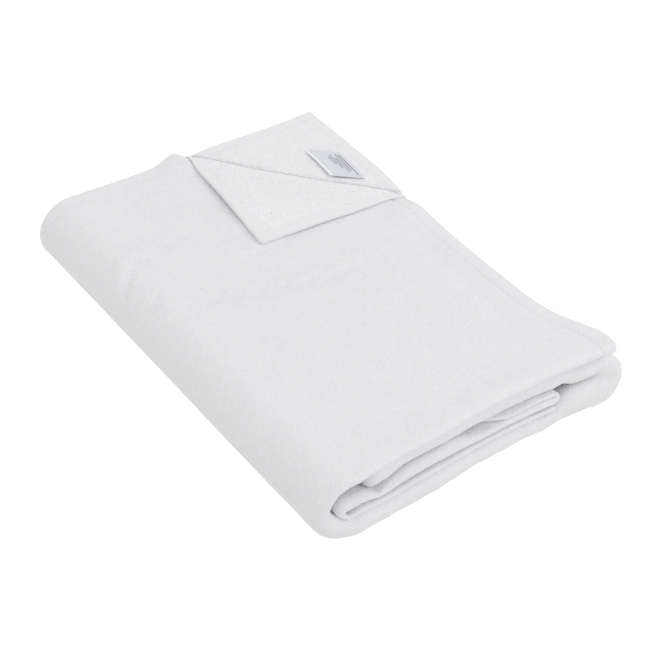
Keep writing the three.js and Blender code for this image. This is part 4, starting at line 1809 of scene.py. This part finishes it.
@dataclass
class CareLabel:
    """The label, sewn into the end hem of the bared layer at one long edge and curling up at the other.

    Attributes:
        packet, corner: what it lies on.
        length, width, thick: its size.
        slant: how far its free edge is shifted along the hem.
        turn: how far it is turned, as a slope.
        gap, curl: its height over the cloth at the seam, and what the free edge has more.
        margin: the strip around it that is kept free of loops.
        seam: middle of the seam.
        steps: steps along and across.
        finish: its finish.
    """

    packet: Packet
    corner: TurnedCorner
    length: float = 46
    width: float = 24
    slant: float = 20
    thick: float = 0.3
    gap: float = 0.35
    margin: float = 1.5
    curl: float = 0.7
    turn: float = 0.07
    seam: tuple[float, float] = (114.3, 109)
    steps: tuple[int, int] = (46, 28)
    finish: Satin = Satin()

    def covers(self, x: Array, y: Array) -> Array:
        """Tells which plan places lie under the label, or close to it.

        Args:
            x, y: plan points.

        Returns:
            True where they do.
        """
        reach = (self.seam[0] - x) / self.width
        run = y - self.seam[1] - reach * self.slant
        across = (reach > -self.margin / self.width) & (reach < 1 + self.margin / self.width)
        return across & (np.abs(run) < self.length / 2 + self.margin)

    def build(self) -> bpy.types.Object:
        """Builds the label.

        Returns:
            Its object.
        """
        looped = self.packet.top_face(0) + self.packet.ply
        along, across = self.steps
        i, j = np.meshgrid(np.arange(along + 1), np.arange(across + 1), indexing="ij")
        run = (i / along - 0.5) * self.length
        reach = j / across
        x = self.seam[0] - reach * self.width + run * self.turn
        y = self.seam[1] + run + reach * self.slant
        z = looped + self.corner.bared(x, y) + self.gap + self.curl * reach**2
        lower = np.stack([x, y, z], axis=-1).reshape(-1, 3)
        upper = lower + [0, 0, self.thick]
        flat = np.stack([(reach * self.width).ravel(), ((i / along) * self.length).ravel()], axis=1)
        number = i * (across + 1) + j
        corners = [number[:-1, :-1], number[:-1, 1:], number[1:, 1:], number[1:, :-1]]
        quads = np.stack(corners, axis=-1).reshape(-1, 4)
        upper, lower = self.packet.uneven(upper), self.packet.uneven(lower)
        points, places, polygons, _ = ClothMesh.closed(upper, lower, flat, quads)
        material = self.finish.material((self.width, self.length))
        return ClothMesh.piece("care_label", points, polygons, [material], None, places)


@dataclass(frozen=True)
class Lamp:
    """A soft square light that faces the middle of the floor: watts, side and place in metres."""

    name: str
    watts: float
    side: float
    place: tuple[float, float, float]


@dataclass
class Studio:
    """Camera, light and floor.

    Attributes:
        photo, focal: the photograph's width and the focal length, in its pixels.
        sensor: width of the camera's sensor.
        place, azimuth, elevation: the camera's place, and the angles of its view, in degrees.
        floor_size: side of the floor.
        world: strength of the white surroundings.
        lamps: the soft lights.
        floor_white, floor_glow: the floor's colour and its own light.
    """

    photo: float = 650
    focal: float = 1477
    sensor: float = 36
    place: tuple[float, float, float] = (-511.35, -763.16, 764.27)
    azimuth: float = -34.2
    elevation: float = 39.6
    floor_size: float = 60000
    world: float = 0.83
    lamps: tuple[Lamp, ...] = (
        Lamp("overhead", 4.5, 2.4, (0.1, 0.2, 2.2)),
        Lamp("front_right", 5.0, 0.8, (0.9, -1.45, 1.15)),
    )
    floor_white: float = 0.2
    floor_glow: float = 0.88

    def camera(self) -> None:
        """Sets the camera at the photograph's view."""
        a, e = math.radians(self.azimuth), math.radians(self.elevation)
        back = Vector((math.sin(a) * math.cos(e), -math.cos(a) * math.cos(e), math.sin(e)))
        right = Vector((math.cos(a), math.sin(a), 0))
        up = back.cross(right)
        lens = bpy.data.cameras.new("photo_camera")
        lens.sensor_width = self.sensor
        lens.lens = self.focal / self.photo * self.sensor
        camera = bpy.data.objects.new("photo_camera", lens)
        turned = Matrix((right, up, back)).transposed().to_4x4()
        camera.matrix_world = Matrix.Translation(Vector(self.place) * METRE) @ turned
        bpy.context.scene.collection.objects.link(camera)
        bpy.context.scene.camera = camera

    def light(self) -> None:
        """Adds the white surroundings and the soft lights."""
        scene = bpy.context.scene
        world = bpy.data.worlds.new("white_room")
        world.use_nodes = True
        background = world.node_tree.nodes["Background"]
        background.inputs["Color"].default_value = (1, 1, 1, 1)
        background.inputs["Strength"].default_value = self.world
        scene.world = world
        for lamp in self.lamps:
            light = bpy.data.lights.new(lamp.name, "AREA")
            light.shape = "SQUARE"
            light.size = lamp.side
            light.energy = lamp.watts
            holder = bpy.data.objects.new(lamp.name, light)
            place = Vector(lamp.place)
            facing = place.to_track_quat("Z", "Y").to_matrix().to_4x4()
            holder.matrix_world = Matrix.Translation(place) @ facing
            scene.collection.objects.link(holder)
        scene.view_settings.view_transform = "Standard"
        scene.view_settings.look = "None"

    def floor(self) -> bpy.types.Object:
        """Adds the pale floor.

        Returns:
            Its object.
        """
        graph = Graph("pale_floor")
        white = (self.floor_white,) * 3
        material = graph.surface(
            Base_Color=white,
            Roughness=1.0,
            Emission_Color=(1.0, 1.0, 1.0),
            Emission_Strength=self.floor_glow,
        )
        half = self.floor_size / 2 * METRE
        points = np.array([[-half, -half, 0], [half, -half, 0], [half, half, 0], [-half, half, 0]])
        made = ClothMesh.piece("floor", points, [[0, 1, 2, 3]], [material])
        made.visible_diffuse = False
        return made


def report(piece: bpy.types.Object) -> None:
    """Logs a finished piece."""
    piece.data.calc_loop_triangles()
    log.info("%s: %d triangles", piece.name, len(piece.data.loop_triangles))


def main() -> None:
    """Builds the studio and the towel's pieces in order."""
    studio = Studio()
    studio.camera()
    studio.light()
    floor = studio.floor()
    packet = Packet()
    corner = TurnedCorner(packet)

    towel = Towel(packet, corner)
    cloth = towel.build()
    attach(cloth, "root")
    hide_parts("towel")
    report(cloth)
    log.info("net of the pile side, still even: %.0f by %.0f mm", towel.width, towel.length)

    sewn = CareLabel(packet, corner)
    label = sewn.build()
    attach(label, "root")
    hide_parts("label")
    report(label)

    loops, thread = towel.finish.loops(), towel.finish.thread()
    terry = TerryLoops()
    extras = [terry.flap(towel, loops), terry.bared(towel, sewn, loops), HemStitches().build(towel, thread)]
    for piece in extras:
        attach(piece, "root")
        report(piece)


if __name__ == "__main__":
    logging.basicConfig(level=logging.INFO, format="%(message)s")
    main()
